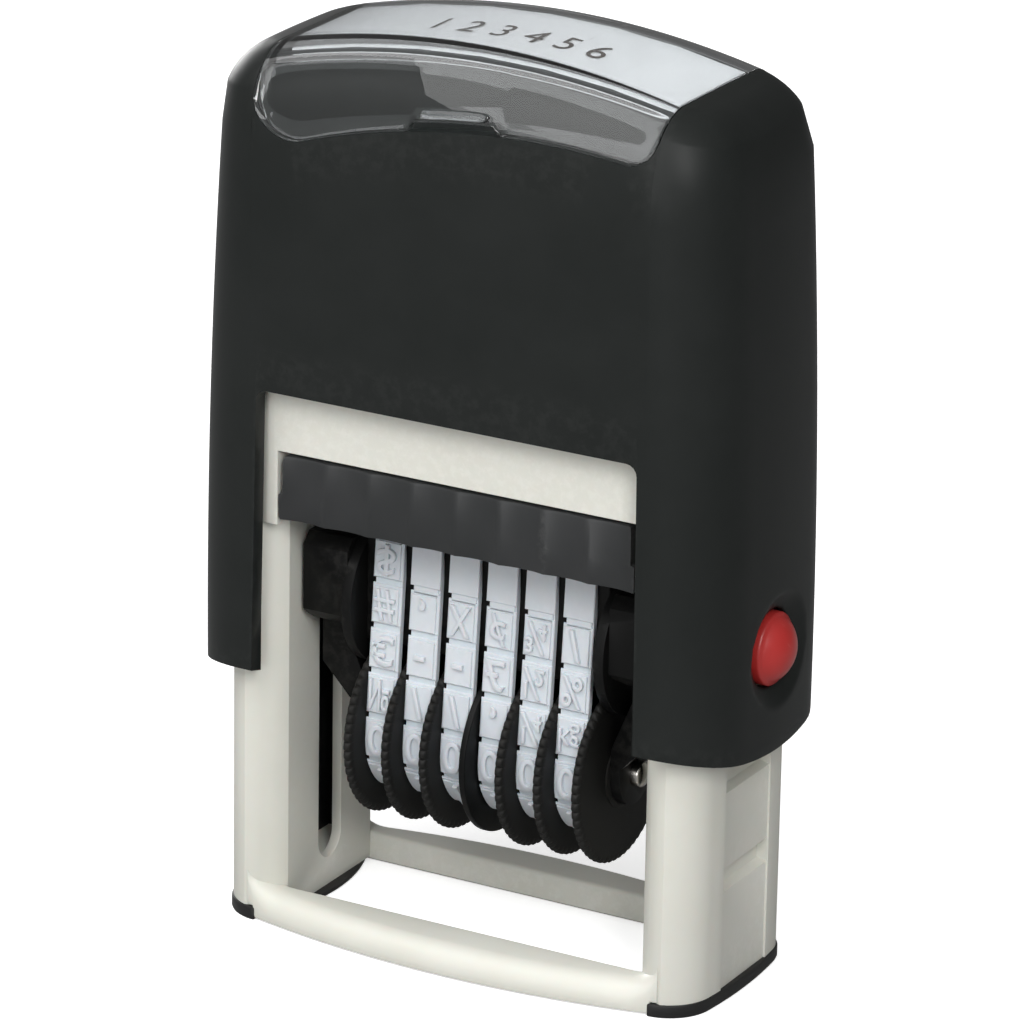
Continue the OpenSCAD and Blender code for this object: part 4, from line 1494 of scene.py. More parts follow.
@dataclass(frozen=True)
class Lettering:
    """Characters in Blender's own typeface, centred on their own middle.

    size is the height of a capital, height half the thickness of the strokes or 0 for flat ones, draft the
    rounding of their edges, and weight how much wider each side of a stroke is.
    """

    size: float
    height: float = 0.0
    draft: float = 0.0
    weight: float = 0.0
    capital: float = 0.73

    def solid(self, text: str) -> tuple[list[Point], list[tuple[int, ...]]]:
        """Corners and faces of a text, centred.

        Args:
            text: The characters.

        Returns:
            The corners and the faces.
        """
        scale = self.size / self.capital
        data = bpy.data.curves.new("character", "FONT")
        data.body = text
        data.size = 1.0
        data.resolution_u = 4
        if self.height > 0:
            data.bevel_depth = self.draft / scale
            data.bevel_resolution = 1
            data.extrude = (self.height - self.draft) / scale
        data.offset = (self.weight - self.draft) / scale
        holder = add_object("character", data)
        graph = bpy.context.evaluated_depsgraph_get()
        mesh = bpy.data.meshes.new_from_object(holder.evaluated_get(graph))
        bpy.data.objects.remove(holder)
        bpy.data.curves.remove(data)
        mesh.transform(Matrix.Scale(scale, 4))
        xs = [v.co.x for v in mesh.vertices]
        ys = [v.co.y for v in mesh.vertices]
        cx, cy = (min(xs) + max(xs)) / 2, (min(ys) + max(ys)) / 2
        corners = [(v.co.x - cx, v.co.y - cy, v.co.z) for v in mesh.vertices]
        faces = [tuple(face.vertices) for face in mesh.polygons]
        bpy.data.meshes.remove(mesh)
        return corners, faces


# ---- the frame ----


@dataclass
class BaseFrame:
    """The cream frame with its two columns, two bowed bars and housing, and the black feet."""

    shop: Workshop
    inner_x: float = 20.9
    column_x: float = 28.2
    half_d: float = 11.5
    inner_half_d: float = 8.4
    corner_r: float = 5.0
    bow_r: float = 60.0
    nose_r: float = 6.2
    nose_turn: float = 60.0
    meet_x: float = 24.45
    foot_t: float = 1.4
    foot_lip: float = 0.15
    foot_x: float = 23.1
    foot_bow_r: float = 23.0
    foot_reach: float = 1.1
    tongue_t: float = 0.5
    top: float = 44.0
    hollow: tuple[float, float, float, float] = (22.0, 25.6, 7.6, 3.6)
    slot_w: float = 4.6
    panel_x: float = 27.8
    panel_w: float = 9.7
    notch_z: tuple[float, ...] = (13.3, 24.0, BUTTON_Z)
    notch_h: float = 2.6
    notch_ramp: float = 0.3
    notch_depth: float = 1.1
    over: float = 1.0
    bar_bottom: float = 0.15
    bar_top: float = 3.3
    bar_bow: float = 2.7
    bar_round: float = 2.2
    bar_end_y: float = 11.25
    bar_eases: Point = (0.2, 0.1, 0.35)
    bar_inner_r: float = 0.5
    fillet_x: float = 20.2
    fillet_r: float = 3.9
    liner_y: float = 1.6
    liner_wall: float = 0.2
    liner_play: float = 0.02
    foot_play: float = 0.05
    foot_round: float = 0.2
    tongue_lap: float = 0.5
    tail_x: float = 0.15
    housing_half_w: float = 27.2
    housing_half_d: float = 11.2
    housing_top: float = 62.0
    housing_r: float = 6.0
    housing_wall: float = 1.6
    pocket_play: float = 0.4
    bay_half_w: float = 20.7
    bay_top: float = 52.0
    well_r: float = 6.5
    well_floor: float = 54.0
    edge_round: float = 0.25

    def outer_end(self, grow: float = 0.0) -> list[Flat]:
        """Plan of the outer end of the right-hand column.

        Args:
            grow: How far the outline is grown.

        Returns:
            The outline from the front to the back.
        """
        r, bow, half_d = self.corner_r, self.bow_r, self.half_d + grow
        tilt = asin((half_d - r) / (bow - r))
        end_x = self.column_x + grow
        centre = (end_x - bow + (bow - r) * cos(tilt), r - half_d)
        deg = degrees(tilt)
        front = arc(centre, r, -90, -deg, 16) + arc((end_x - bow, 0), bow, -deg, 0, 6)[1:]
        return front + [(x, -y) for x, y in reversed(front[:-1])]

    def column_plan(self) -> list[Flat]:
        """Plan of the right-hand column.

        Returns:
            The outline, anticlockwise.
        """
        turn = radians(self.nose_turn)
        r = self.nose_r
        centre = (self.inner_x + r * sin(turn), -self.inner_half_d + r * cos(turn))
        meet = -90 - degrees(asin((centre[0] - self.meet_x) / r))
        nose = arc(centre, r, -90 - self.nose_turn, meet, 9)
        outer = [p for p in self.outer_end() if p[0] > self.meet_x + self.tail_x]
        return nose + outer + [(x, -y) for x, y in reversed(nose)]

    def column(self, side: int) -> None:
        """Builds one column.

        Args:
            side: Its side.
        """
        shape = Moulding()
        shape.prism(self.column_plan(), Axis.Z, self.tongue_t, self.top)
        piece = shape.build("frame_column_" + hand(side))
        x0, x1, half, floor = self.hollow
        above, far_d = self.top + CLEAR, self.half_d + CLEAR
        inside, beyond = self.inner_x - self.over, self.column_x + 2 * self.over
        tools = [box_tool((x0, -half, floor), (x1, half, above)),
                 box_tool((x0, -far_d, 0), (self.column_x + CLEAR, far_d, self.foot_t))]
        for s in SIDES:
            low, high = sorted((s * self.inner_half_d, s * far_d))
            tools.append(box_tool((inside, low, 0), (x0 + self.over, high, self.foot_t)))
        slot = Moulding()
        radius = self.slot_w / 2
        outline = arc((0, floor + radius), radius, 180, 360, 16) + [(radius, above), (-radius, above)]
        slot.prism(outline, Axis.X, inside, x0 + self.over)
        tools.append(slot.build("slot cutter"))
        panel = self.panel_w / 2
        tools.append(box_tool((self.panel_x, -panel, 0), (beyond, panel, above)))
        deep = self.panel_x - self.notch_depth
        for z in self.notch_z:
            low, high = z - self.notch_h / 2, z + self.notch_h / 2
            outline = [(deep, low + self.notch_ramp), (self.panel_x, low),
                       (beyond, low), (beyond, high), (deep, high)]
            notch = Moulding()
            notch.prism(outline, Axis.Y, -panel, panel)
            tools.append(notch.build("notch cutter"))
        carve(piece, tools)
        if side < 0:
            piece.data.transform(Matrix.Scale(-1, 4, Vector((1, 0, 0))))
            piece.data.flip_normals()
        soften(piece, self.edge_round)
        shade(piece, 25.0)
        self.shop.place(piece, "base", "frame_plastic")

    def painted_shade_liner(self, side: int) -> None:
        """Builds black walls in the hollow of one column: painted shade, a dark liner that stands in for
        the deep shadow inside the hollow.

        Args:
            side: Its side.
        """
        x0, x1, half, floor = self.hollow
        wall, play = self.liner_wall, self.liner_play
        near, far, thin = x0 + self.foot_play, x1 - play, x1 - play - wall
        front = [(near, play - half), (far, play - half), (far, wall - half), (near, wall - half)]
        back = [(near, half - wall), (thin, half - wall), (thin, self.liner_y), (far, self.liner_y),
                (far, half - play), (near, half - play)]
        shape = Moulding()
        for outline in (back, front):
            shape.prism([(side * x, y) for x, y in outline], Axis.Z, floor + play, self.top - wall)
        # Painted shade: these black walls darken the hollow, which would otherwise show its lit cream
        # inside.
        piece = shape.build("painted_shade_liner_" + hand(side))
        shade(piece)
        self.shop.place(piece, "base", "foot_plastic")

    def foot(self, side: int) -> None:
        """Builds the black plate under one column.

        Args:
            side: Its side.
        """
        edge = self.hollow[0] + self.foot_play
        deep = self.inner_half_d - self.foot_play
        outer = [p for p in self.outer_end(self.foot_lip) if p[0] > self.foot_x]
        front_y = outer[0][1]
        plate = [(edge, -deep), (self.foot_x, -deep), (self.foot_x, front_y), *outer,
                 (self.foot_x, -front_y), (self.foot_x, deep), (edge, deep)]
        centre = self.inner_x - self.foot_reach + self.foot_bow_r
        lean = degrees(asin(deep / self.foot_bow_r))
        root = edge + self.tongue_lap
        tongue = arc((centre, 0), self.foot_bow_r, 180 - lean, 180 + lean, 24)
        tongue += [(root, -deep), (root, deep)]
        shape = Moulding()
        for outline, top in ((plate, self.foot_t), (tongue, self.tongue_t)):
            shape.prism([(side * x, y) for x, y in outline], Axis.Z, 0.0, top)
        name = "foot_" + hand(side)
        piece = shape.build(name + "_plate")
        soften(piece, self.foot_round, 50.0, 2)
        shade(piece)
        self.shop.place(piece, "base", "foot_plastic", [name])

    def bar(self, side: int) -> None:
        """Builds one cross bar.

        Args:
            side: -1 for the front one, 1 for the back one.
        """
        reach = self.fillet_x + self.fillet_r
        crest_y = self.half_d + self.bar_bow
        bow = crest_y - self.bar_end_y
        bow_r = (reach ** 2 + bow ** 2) / (2 * bow)
        ends = [self.fillet_x + self.fillet_r * sin(radians(a)) for a in spread(0, 84, 14)]
        xs = [-x for x in reversed(ends)] + spread(-self.fillet_x, self.fillet_x, 48)[1:-1] + ends
        inner, r, inner_r = self.inner_half_d, self.bar_round, self.bar_inner_r
        near, middle, far = self.bar_eases
        rings = []
        for x in xs:
            rise = self.fillet_r - sqrt(self.fillet_r ** 2 - max(abs(x) - self.fillet_x, 0.0) ** 2)
            outer = crest_y - bow_r + sqrt(bow_r ** 2 - x ** 2)
            top = self.bar_top + rise
            low = self.bar_bottom if abs(x) < self.foot_x else self.foot_t + self.liner_play
            section = [(inner + near, low), (outer - far, low)]
            section += [(outer - middle, low + middle), (outer, low + far)]
            section += arc((outer - r, top - r), r, 0, 90, 10)
            section += arc((inner + inner_r, top - inner_r), inner_r, 90, 180, 4) + [(inner, low + near)]
            rings.append([(x, side * y, z) for y, z in section])
        shape = Moulding()
        shape.rings(rings)
        piece = shape.build("frame_bar_front" if side < 0 else "frame_bar_back")
        shade(piece)
        self.shop.place(piece, "base", "frame_plastic")

    def housing(self) -> None:
        """Builds the upper housing with its pad bay, guides, spring well and pockets."""
        half_w, half_d, wall = self.housing_half_w, self.housing_half_d, self.housing_wall
        shape = Moulding()
        plan = rounded_box((-half_w, -half_d), (half_w, half_d), self.housing_r, 8)
        shape.prism(plan, Axis.Z, self.top, self.housing_top)
        piece = shape.build("frame_housing")
        x0, x1, half, _ = self.hollow
        below, above, far = self.top - CLEAR, self.housing_top + CLEAR, half_d + CLEAR
        tools = [box_tool((-self.bay_half_w, -far, below), (self.bay_half_w, far, self.bay_top))]
        tools += [side_box(side, (x0, -half, below), (x1, half, above)) for side in SIDES]
        well = Moulding()
        profile = [(0, self.well_floor), (self.well_r, self.well_floor), (self.well_r, above), (0, above)]
        well.lathe(profile, (0, 0), Axis.Z, 64)
        tools.append(well.build("well cutter"))
        low = (self.well_r + wall, wall - half_d, self.bay_top + wall)
        high = (self.inner_x - self.pocket_play, half_d - wall, above)
        tools += [side_box(side, low, high) for side in SIDES]
        carve(piece, tools)
        soften(piece, self.edge_round)
        shade(piece)
        self.shop.place(piece, "base", "frame_plastic", ["base_frame"])

    def build(self) -> None:
        """Builds the frame's pieces and its feet."""
        for side in SIDES:
            self.column(side)
            self.bar(side)
            # The black liner in each column's hollow is painted shade.
            self.painted_shade_liner(side)
            self.foot(side)
        self.housing()


@dataclass
class InkCartridge:
    """The dark pad cartridge with its fluted front, and the felt in it."""

    shop: Workshop
    half_w: float = 20.4
    half_d: float = 11.4
    bottom: float = 44.7
    height: float = 7.0
    flutes: int = 8
    flute_depth: float = 0.35
    wall: float = 1.6
    pad_z: float = 46.3
    lip: tuple[Flat, ...] = ((0.0, 0.25), (0.08, 0.08), (0.3, 0.0), (2.8, 0.0))
    step_z: float = 3.0
    step_w: float = 0.4
    top_edge: tuple[Flat, ...] = ((0.5, 0.05), (0.15, 0.2), (0.0, 0.55))

    def _front(self, x: float) -> float:
        """Half depth of the fluted front at a place along X.

        Args:
            x: The place.

        Returns:
            The half depth.
        """
        pitch = 2 * self.half_w / self.flutes
        share = ((x + self.half_w) % pitch) / pitch
        r = (pitch * pitch / 4 + self.flute_depth ** 2) / (2 * self.flute_depth)
        off = (share - 0.5) * pitch
        return self.half_d - self.flute_depth + r - sqrt(r * r - off * off)

    def body(self) -> None:
        """Builds the cartridge."""
        top = self.bottom + self.height
        xs = spread(-self.half_w, self.half_w, self.flutes * 12)
        levels = [(self.bottom + rise, inset, 0.0) for rise, inset in self.lip]
        levels += [(self.bottom + self.step_z, 0.0, self.step_w)]
        levels += [(top - drop, inset, self.step_w) for drop, inset in self.top_edge]
        rings = []
        for z, inset, step in levels:
            scale = (self.half_w - step - inset) / self.half_w
            front = [(x * scale, -(self._front(x) - inset), z) for x in xs]
            rings.append(front + [(x * scale, self._front(x) - inset, z) for x in reversed(xs)])
        shape = Moulding()
        shape.rings(rings)
        piece = shape.build("pad_cartridge")
        x, y, below = self.half_w - 2 * self.wall, self.half_d - self.wall, self.bottom - CLEAR
        carve(piece, [box_tool((-x, -y, below), (x, y, top - self.wall)),
                      box_tool((-x, 0, below), (x, y + CLEAR, self.pad_z))])
        shade(piece, 30.0)
        self.shop.place(piece, "cartridge", "cartridge_plastic", ["ink_cartridge"])

    def build(self) -> None:
        """Builds the cartridge and dresses its felt."""
        self.body()
        self.shop.dress("ink_pad", "pad_felt")


# ---- the number unit ----


@dataclass(frozen=True)
class BandRun:
    """The closed path of a band round the platen's edge and the wheel."""

    axle_z: float = AXLE_Z
    wheel_r: float = 5.85
    half_d: float = 4.0
    edge_r: float = 1.8
    top_z: float = 44.55
    backing: float = 0.7

    def _tangent(self) -> tuple[float, float, float]:
        """Angle of the line between the two centres, the run's lean off it, and the run's length.

        Returns:
            The two angles and the length.
        """
        dy = -(self.half_d - self.edge_r)
        dz = self.top_z - self.edge_r - self.axle_z
        span = hypot(dy, dz)
        base = atan2(dz, dy)
        turn = asin((self.wheel_r - self.edge_r) / span)
        return base, turn, sqrt(span ** 2 - (self.wheel_r - self.edge_r) ** 2)

    def point(self, s: float, height: float) -> Flat:
        """A point over the run.

        Args:
            s: Length along the backing's outer face, from the middle of the print towards the front.
            height: The height over the inner face.

        Returns:
            Its y and z.
        """
        total = self.length()
        s = (s + total / 2) % total - total / 2
        side = -1.0 if s >= 0 else 1.0
        s = abs(s)
        base, turn, straight = self._tangent()
        normal = base + pi / 2 - turn
        flat = self.half_d - self.edge_r
        small, big = self.edge_r + self.backing, self.wheel_r + self.backing
        bend = normal - pi / 2
        centre = (-flat, self.top_z - self.edge_r)
        reach = self.edge_r + height
        if s <= flat:
            y, z = -s, self.top_z + height
            return -side * y, z
        s -= flat
        if s <= small * bend:
            a = pi / 2 + s / small
            y, z = centre[0] + reach * cos(a), centre[1] + reach * sin(a)
            return -side * y, z
        s -= small * bend
        along = (-sin(normal), cos(normal))
        out = (cos(normal), sin(normal))
        if s <= straight:
            y = centre[0] + reach * out[0] + along[0] * s
            z = centre[1] + reach * out[1] + along[1] * s
            return -side * y, z
        s -= straight
        a = normal + s / big
        y, z = (self.wheel_r + height) * cos(a), self.axle_z + (self.wheel_r + height) * sin(a)
        return -side * y, z

    def length(self) -> float:
        """Length of the whole run over the backing's outer face.

        Returns:
            The length.
        """
        base, turn, straight = self._tangent()
        bend = base - turn
        small, big = self.edge_r + self.backing, self.wheel_r + self.backing
        return 2 * ((self.half_d - self.edge_r) + small * bend + straight + big * (pi - bend))


@dataclass
class NumberBands:
    """The six rubber bands with their blocks and characters.

    SHIFTS moves a character along the run. PARTS makes one of others, each with its place along X and
    its share of the width.
    """

    SHIFTS = {",": -0.9}
    PARTS = {"€": (("C", 0.15, 1.0), ("=", -0.35, 0.62))}

    shop: Workshop
    run: BandRun = BandRun()
    pitch: float = BAND_PITCH
    width: float = 3.46
    block_h: float = 0.75
    cells: int = 16
    gap: float = 0.6
    backing_low: float = 0.02
    backing_inset: Flat = (0.25, 0.1)
    backing_steps: int = 160
    root: float = 0.05
    slab_round: float = 0.08
    slab_steps: int = 5
    strip_x: float = 0.05
    strip_inset: float = 0.3
    plate_x: float = -0.06
    plate_ends: Flat = (0.3, 0.12)
    plate_round: float = 0.05
    plate_inset: float = 0.26
    plate_step: float = 0.16
    strip_step: float = 0.16
    relief: float = 0.40
    draft: float = 0.09
    stroke: float = 0.06
    glyph_h: float = 3.3
    glyph_w: float = 2.4
    slack: float = -1.0
    signs: tuple[tuple[str, ...], ...] = (
        ("$", "#", "€", "№"), ("", ",", "-", "/"), ("", "X", "-", "/"),
        ("", "¢", "£", ","), ("", "¾", "½", "¼"), ("", "/", "%", "kg"))
    numbers: str = "0123456789"

    def characters(self, i: int) -> list[str]:
        """The characters of a band, from the print face down the front and round to the back."""
        return ["", "", *self.signs[i - 1], *self.numbers]

    def centre(self, k: int) -> float:
        """Place of a block's middle along the run. The blocks by the print face lie a little closer."""
        share = min(1.0, min(k, self.cells - k) / 2)
        return k * self.run.length() / self.cells + self.slack * share

    def band_x(self, i: int) -> float:
        """Place of a band along X."""
        return (i - 3.5) * self.pitch

    def _slab(
            self, shape: Moulding, x: float, ends: Flat, half_w: float, heights: Flat, round_h: float,
    ) -> None:
        """Adds a slab that follows the run, with rounded upper edges.

        Args:
            shape: The moulding that is added to.
            x: Its middle along X.
            ends: Where it starts and ends along the run.
            half_w: Half its width.
            heights: The heights of its underside and its top.
            round_h: The rounding of its upper edges.
        """
        (s0, s1), (low, high) = ends, heights
        shoulder = max(high - round_h, low)
        inner = spread(s0 + round_h, s1 - round_h, self.slab_steps)[1:-1]
        stations = [(s0, low, 0.0), (s0, high - round_h, 0.0), (s0 + round_h, high, round_h)]
        stations += [(s, high, round_h) for s in inner]
        stations += [(s1 - round_h, high, round_h), (s1, high - round_h, 0.0), (s1, low, 0.0)]
        rings = []
        for s, h, pull in stations:
            y0, z0 = self.run.point(s, low)
            y1, z1 = self.run.point(s, min(h, shoulder))
            y2, z2 = self.run.point(s, h)
            rings.append([
                (x - half_w, y0, z0), (x - half_w, y1, z1), (x - half_w + pull, y2, z2),
                (x + half_w - pull, y2, z2), (x + half_w, y1, z1), (x + half_w, y0, z0)])
        shape.rings(rings)

    def _character(self, shape: Moulding, text: str, x: float, s: float, low: float, share: float) -> None:
        """Adds a raised mirrored character that follows the run.

        Args:
            shape: The moulding that is added to.
            text: The character.
            x: Its middle along X.
            s: Its middle along the run.
            low: The height that it stands on.
            share: How much of a block's width it takes.
        """
        corners, faces = Lettering(self.glyph_h, self.relief, self.draft, self.stroke).solid(text)
        wide = max(u for u, _, _ in corners) - min(u for u, _, _ in corners)
        tall = max(v for _, v, _ in corners) - min(v for _, v, _ in corners)
        squeeze = min(1.0, self.glyph_w * share / wide)
        stretch = min(1.0, self.glyph_h / tall)
        offset = self.SHIFTS.get(text, 0.0)
        points = []
        for u, v, h in corners:
            y, z = self.run.point(s + v * stretch + offset, low + h)
            points.append((x + u * squeeze, y, z))
        shape.join(points, faces)

    def band(self, i: int) -> None:
        """Builds one band.

        Args:
            i: Its number, from 1 at the left.
        """
        shape = Moulding()
        x = self.band_x(i)
        total = self.run.length()
        cell = total / self.cells
        half, backing = self.width / 2, self.run.backing
        base = backing - self.root
        left, right = x - half + self.backing_inset[0], x + half - self.backing_inset[1]
        rows = []
        for s in spread(0, total, self.backing_steps)[:-1]:
            (y0, z0), (y1, z1) = (self.run.point(s, h) for h in (self.backing_low, backing))
            rows.append(shape.add([(left, y0, z0), (right, y0, z0), (right, y1, z1), (left, y1, z1)]))
        for a, b in zip(rows, rows[1:] + rows[:1]):
            shape.strip(a, b, closed=True)
        for k, text in enumerate(self.characters(i)):
            centre = self.centre(k)
            top = backing + self.block_h - self.relief - (self.plate_step if text else 0.0)
            reach = (cell - self.gap) / 2 + (self.slack / 4 if k < 2 else 0.0)
            self._slab(shape, x, (centre - reach, centre + reach), half, (base, top), self.slab_round)
            after = centre + (self.centre(k + 1) - centre) / 2
            ends = (after - self.gap, after + self.gap)
            self._slab(shape, x + self.strip_x, ends, half - self.strip_inset,
                       (base, top - self.strip_step), self.slab_round)
            if text:
                ends = (centre - reach + self.plate_ends[0], centre + reach - self.plate_ends[1])
                plate = top + self.plate_step
                self._slab(shape, x + self.plate_x, ends, half - self.plate_inset,
                           (top - self.root, plate), self.plate_round)
                for glyph, aside, share in self.PARTS.get(text, ((text, 0.0, 1.0),)):
                    self._character(shape, glyph, x + self.plate_x + aside, centre, plate, share)
        piece = shape.build("number_band_%d" % i)
        shade(piece, 30.0)
        self.shop.place(piece, "carrier", "band_rubber", ["band_%d" % i])

    def build(self) -> None:
        """Builds the six bands."""
        for i in range(1, 7):
            self.band(i)


@dataclass
class ThumbWheels:
    """The six thumb wheels with their fine knurls."""

    shop: Workshop
    axle_z: float = AXLE_Z
    pitch: float = BAND_PITCH
    radius: float = 9.8
    thickness: float = 0.92
    knurls: int = 60
    knurl_depth: float = 0.30
    drum_r: float = 5.6
    bore_r: float = 1.45
    band_half: float = 1.6
    rim: tuple[Point, ...] = ((0.95, 0.0, 0.0), (0.42, 0.25, 0.0), (0.12, 0.8, 0.14), (0.0, 1.0, 0.3))
    knurl_fullness: float = 0.6
    drum_round: float = 0.15
    drum_lap: float = 0.05
    hub: Flat = (3.9, 3.6)
    hub_h: float = 0.28
    hub_wall: float = 0.6

    def rim_x(self, i: int) -> float:
        """Place of a rim along X."""
        return (i - 4 if i <= 3 else i - 3) * self.pitch

    def _ring(self, radius: float, depth: float, x: float) -> list[Point]:
        """A knurled ring.

        Args:
            radius: Its outer radius.
            depth: How deep the knurls are.
            x: Its place along X.

        Returns:
            The points of the ring.
        """
        count = self.knurls * 8
        points = []
        for k in range(count):
            a = 2 * pi * k / count
            wave = abs(cos(a * self.knurls / 2)) ** self.knurl_fullness
            r = radius - depth * (1 - wave)
            points.append((x, r * cos(a), self.axle_z + r * sin(a)))
        return points

    def wheel(self, i: int) -> None:
        """Builds one thumb wheel with its drum and hub.

        Args:
            i: Its number, from 1 at the left.
        """
        x, half, bore = self.rim_x(i), self.thickness / 2, self.bore_r
        near_rim = [self._ring(self.radius - drop, self.knurl_depth * share, x - half + inset)
                    for drop, share, inset in self.rim]
        far_rim = [self._ring(self.radius - drop, self.knurl_depth * share, x + half - inset)
                   for drop, share, inset in reversed(self.rim)]
        shape = Moulding()
        shape.rings(near_rim + far_rim)
        side = -1 if i <= 3 else 1
        band_x = (i - 3.5) * self.pitch
        low, high = sorted((x - side * (half - self.drum_lap), band_x - side * self.band_half))
        drum, ease = self.drum_r, self.drum_round
        shape.lathe([(bore, low), (drum - ease, low), (drum, low + ease), (drum, high - ease),
                     (drum - ease, high), (bore, high)], (0, self.axle_z), Axis.X, 72)
        face, step = x + side * half, side * self.hub_h
        wide, narrow = self.hub
        shape.lathe([(bore, face - step), (wide, face - step), (wide, face + step * self.hub_wall),
                     (narrow, face + step), (bore, face + step)], (0, self.axle_z), Axis.X, 64)
        piece = shape.build("thumb_wheel_%d" % i)
        shade(piece, 32.0)
        self.shop.place(piece, "wheel_%d" % i, "wheel_plastic", ["number_wheel_%d" % i])

    def build(self) -> None:
        """Builds the six wheels."""
        for i in range(1, 7):
            self.wheel(i)


@dataclass
class Carrier:
    """The arms, platen, axle, divider and cranks that carry the wheels."""

    shop: Workshop
    axle_z: float = AXLE_Z
    axle_r: float = 1.4
    axle_end: float = 16.5
    axle_dome: float = 0.55
    neck: Point = (0.12, 1.25, 1.15)
    moulded: tuple[tuple[str, str, float], ...] = (
        ("arm_left", "carrier_arm_left", 0.45), ("arm_right", "carrier_arm_right", 0.45),
        ("centre_divider", "divider_disc", 0.12), ("platen", "platen_bar", 0.2))
    cranks: tuple[str, ...] = ("flip_crank_left", "flip_crank_right")
    crank_rounding: float = 0.12

    def shaft(self) -> None:
        """Builds the turned axle with its domed ends."""
        r, dome = self.axle_r, self.axle_dome
        end = self.axle_end - dome
        depth, start, stop = self.neck
        half = [(r - depth, end - start), (r, end - stop), (r, end)]
        for a in spread(12, 90, 8):
            half.append((r * cos(radians(a)), end + dome * sin(radians(a))))
        shape = Moulding()
        shape.lathe([(radius, -x) for radius, x in reversed(half)] + half, (0, self.axle_z), Axis.X, 48)
        piece = shape.build("wheel_shaft")
        shade(piece)
        self.shop.place(piece, "carrier", "axle_steel", ["wheel_axle"])

    def build(self) -> None:
        """Builds the carrier's pieces."""
        for node, name, width in self.moulded:
            self.shop.round_off(node, name, width, "carrier", "unit_plastic")
        self.shaft()
        for node in self.cranks:
            self.shop.round_off(node, node + "_plate", self.crank_rounding, "carrier", "crank_metal")


@dataclass
class LockButtons:
    """The two red lock buttons with their bolts."""

    shop: Workshop
    radius: float = 3.8
    z: float = BUTTON_Z
    face_x: float = 32.5
    seat_x: float = 29.15
    dome: float = 2.4
    rim_w: float = 0.35
    rim_rounding: tuple[Flat, ...] = ((0.0, 0.35), (0.05, 0.2), (0.16, 0.08))
    bolt: tuple[float, float, float, float] = (28.1, 29.2, 4.4, 0.85)
    bolt_round: float = 0.3

    def button(self, side: int) -> None:
        """Builds one button.

        Args:
            side: Its side.
        """
        r = self.radius
        dome_r = (r * r + self.dome * self.dome) / (2 * self.dome)
        centre = self.face_x - dome_r
        rim = degrees(asin((r - self.rim_w) / dome_r))
        edge_x = centre + dome_r * cos(radians(rim))
        profile = [(0.0, self.seat_x), (r, self.seat_x)]
        profile += [(r - inset, edge_x - drop) for inset, drop in self.rim_rounding]
        for a in spread(rim, 0, 16):
            profile.append((dome_r * sin(radians(a)), centre + dome_r * cos(radians(a))))
        shape = Moulding()
        shape.lathe([(radius, side * x) for radius, x in profile], (0, self.z), Axis.X, 96)
        x0, x1, half, high = self.bolt
        outline = rounded_box((-half, self.z - high), (half, self.z + high), self.bolt_round, 4)
        shape.prism(outline, Axis.X, side * x0, side * x1)
        name = hand(side)
        piece = shape.build("lock_button_%s_cap" % name)
        shade(piece, 40.0)
        self.shop.place(piece, "button_" + name, "button_plastic", ["lock_button_" + name])

    def build(self) -> None:
        """Builds both buttons."""
        for side in SIDES:
            self.button(side)


@dataclass
class InnerWorks:
    """The slider and the main spring inside the cap."""

    shop: Workshop
    spring_r: float = 5.0
    wire_r: float = 0.45
    turns: int = 8
    turn_steps: int = 40
    wire_sides: int = 12
    closed_pitch: float = 2.1
    travel: float = 24.0

    def spring(self) -> None:
        """Winds the main spring, with closed ends, which the stroke shortens."""
        low, high = (corner.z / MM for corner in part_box("main_spring"))
        bottom, top = low + self.wire_r, high - self.wire_r
        closed = self.closed_pitch * self.wire_r
        rings = []
        for step in range(self.turns * self.turn_steps + 1):
            turn = step / self.turn_steps
            open_share = min(max(turn - 1, 0.0) / (self.turns - 2), 1.0)
            ends = min(turn, 1.0) + max(turn - self.turns + 1, 0.0)
            z = bottom + closed * ends + (top - bottom - 2 * closed) * open_share
            a = 2 * pi * turn
            ring = []
            for side in range(self.wire_sides):
                b = 2 * pi * side / self.wire_sides
                r = self.spring_r + self.wire_r * cos(b)
                ring.append((r * cos(a), r * sin(a), z + self.wire_r * sin(b)))
            rings.append(ring)
        shape = Moulding()
        shape.rings(rings)
        piece = shape.build("coil_spring")
        shade(piece, 60.0)
        self.shop.place(piece, "cap", "spring_steel", ["main_spring"])
        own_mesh(piece)

    def build(self) -> None:
        """Builds the slider and the spring."""
        self.shop.round_off("inner_slider", "slider_body", 0.25, "cap", "unit_plastic")
        self.spring()


# ---- the studio ----


@dataclass(frozen=True)
class Softbox:
    """One soft studio light."""

    name: str
    place: Point
    aim: Point
    size: Flat
    watts: float

    def build(self) -> None:
        """Adds the light."""
        data = bpy.data.lights.new(self.name, "AREA")
        data.shape = "RECTANGLE"
        data.size, data.size_y = self.size[0] * MM, self.size[1] * MM
        data.energy = self.watts
        lamp = add_object(self.name, data)
        lamp.location = Vector(self.place) * MM
        direction = Vector(self.aim) * MM - lamp.location
        lamp.rotation_euler = direction.to_track_quat("-Z", "Y").to_euler()


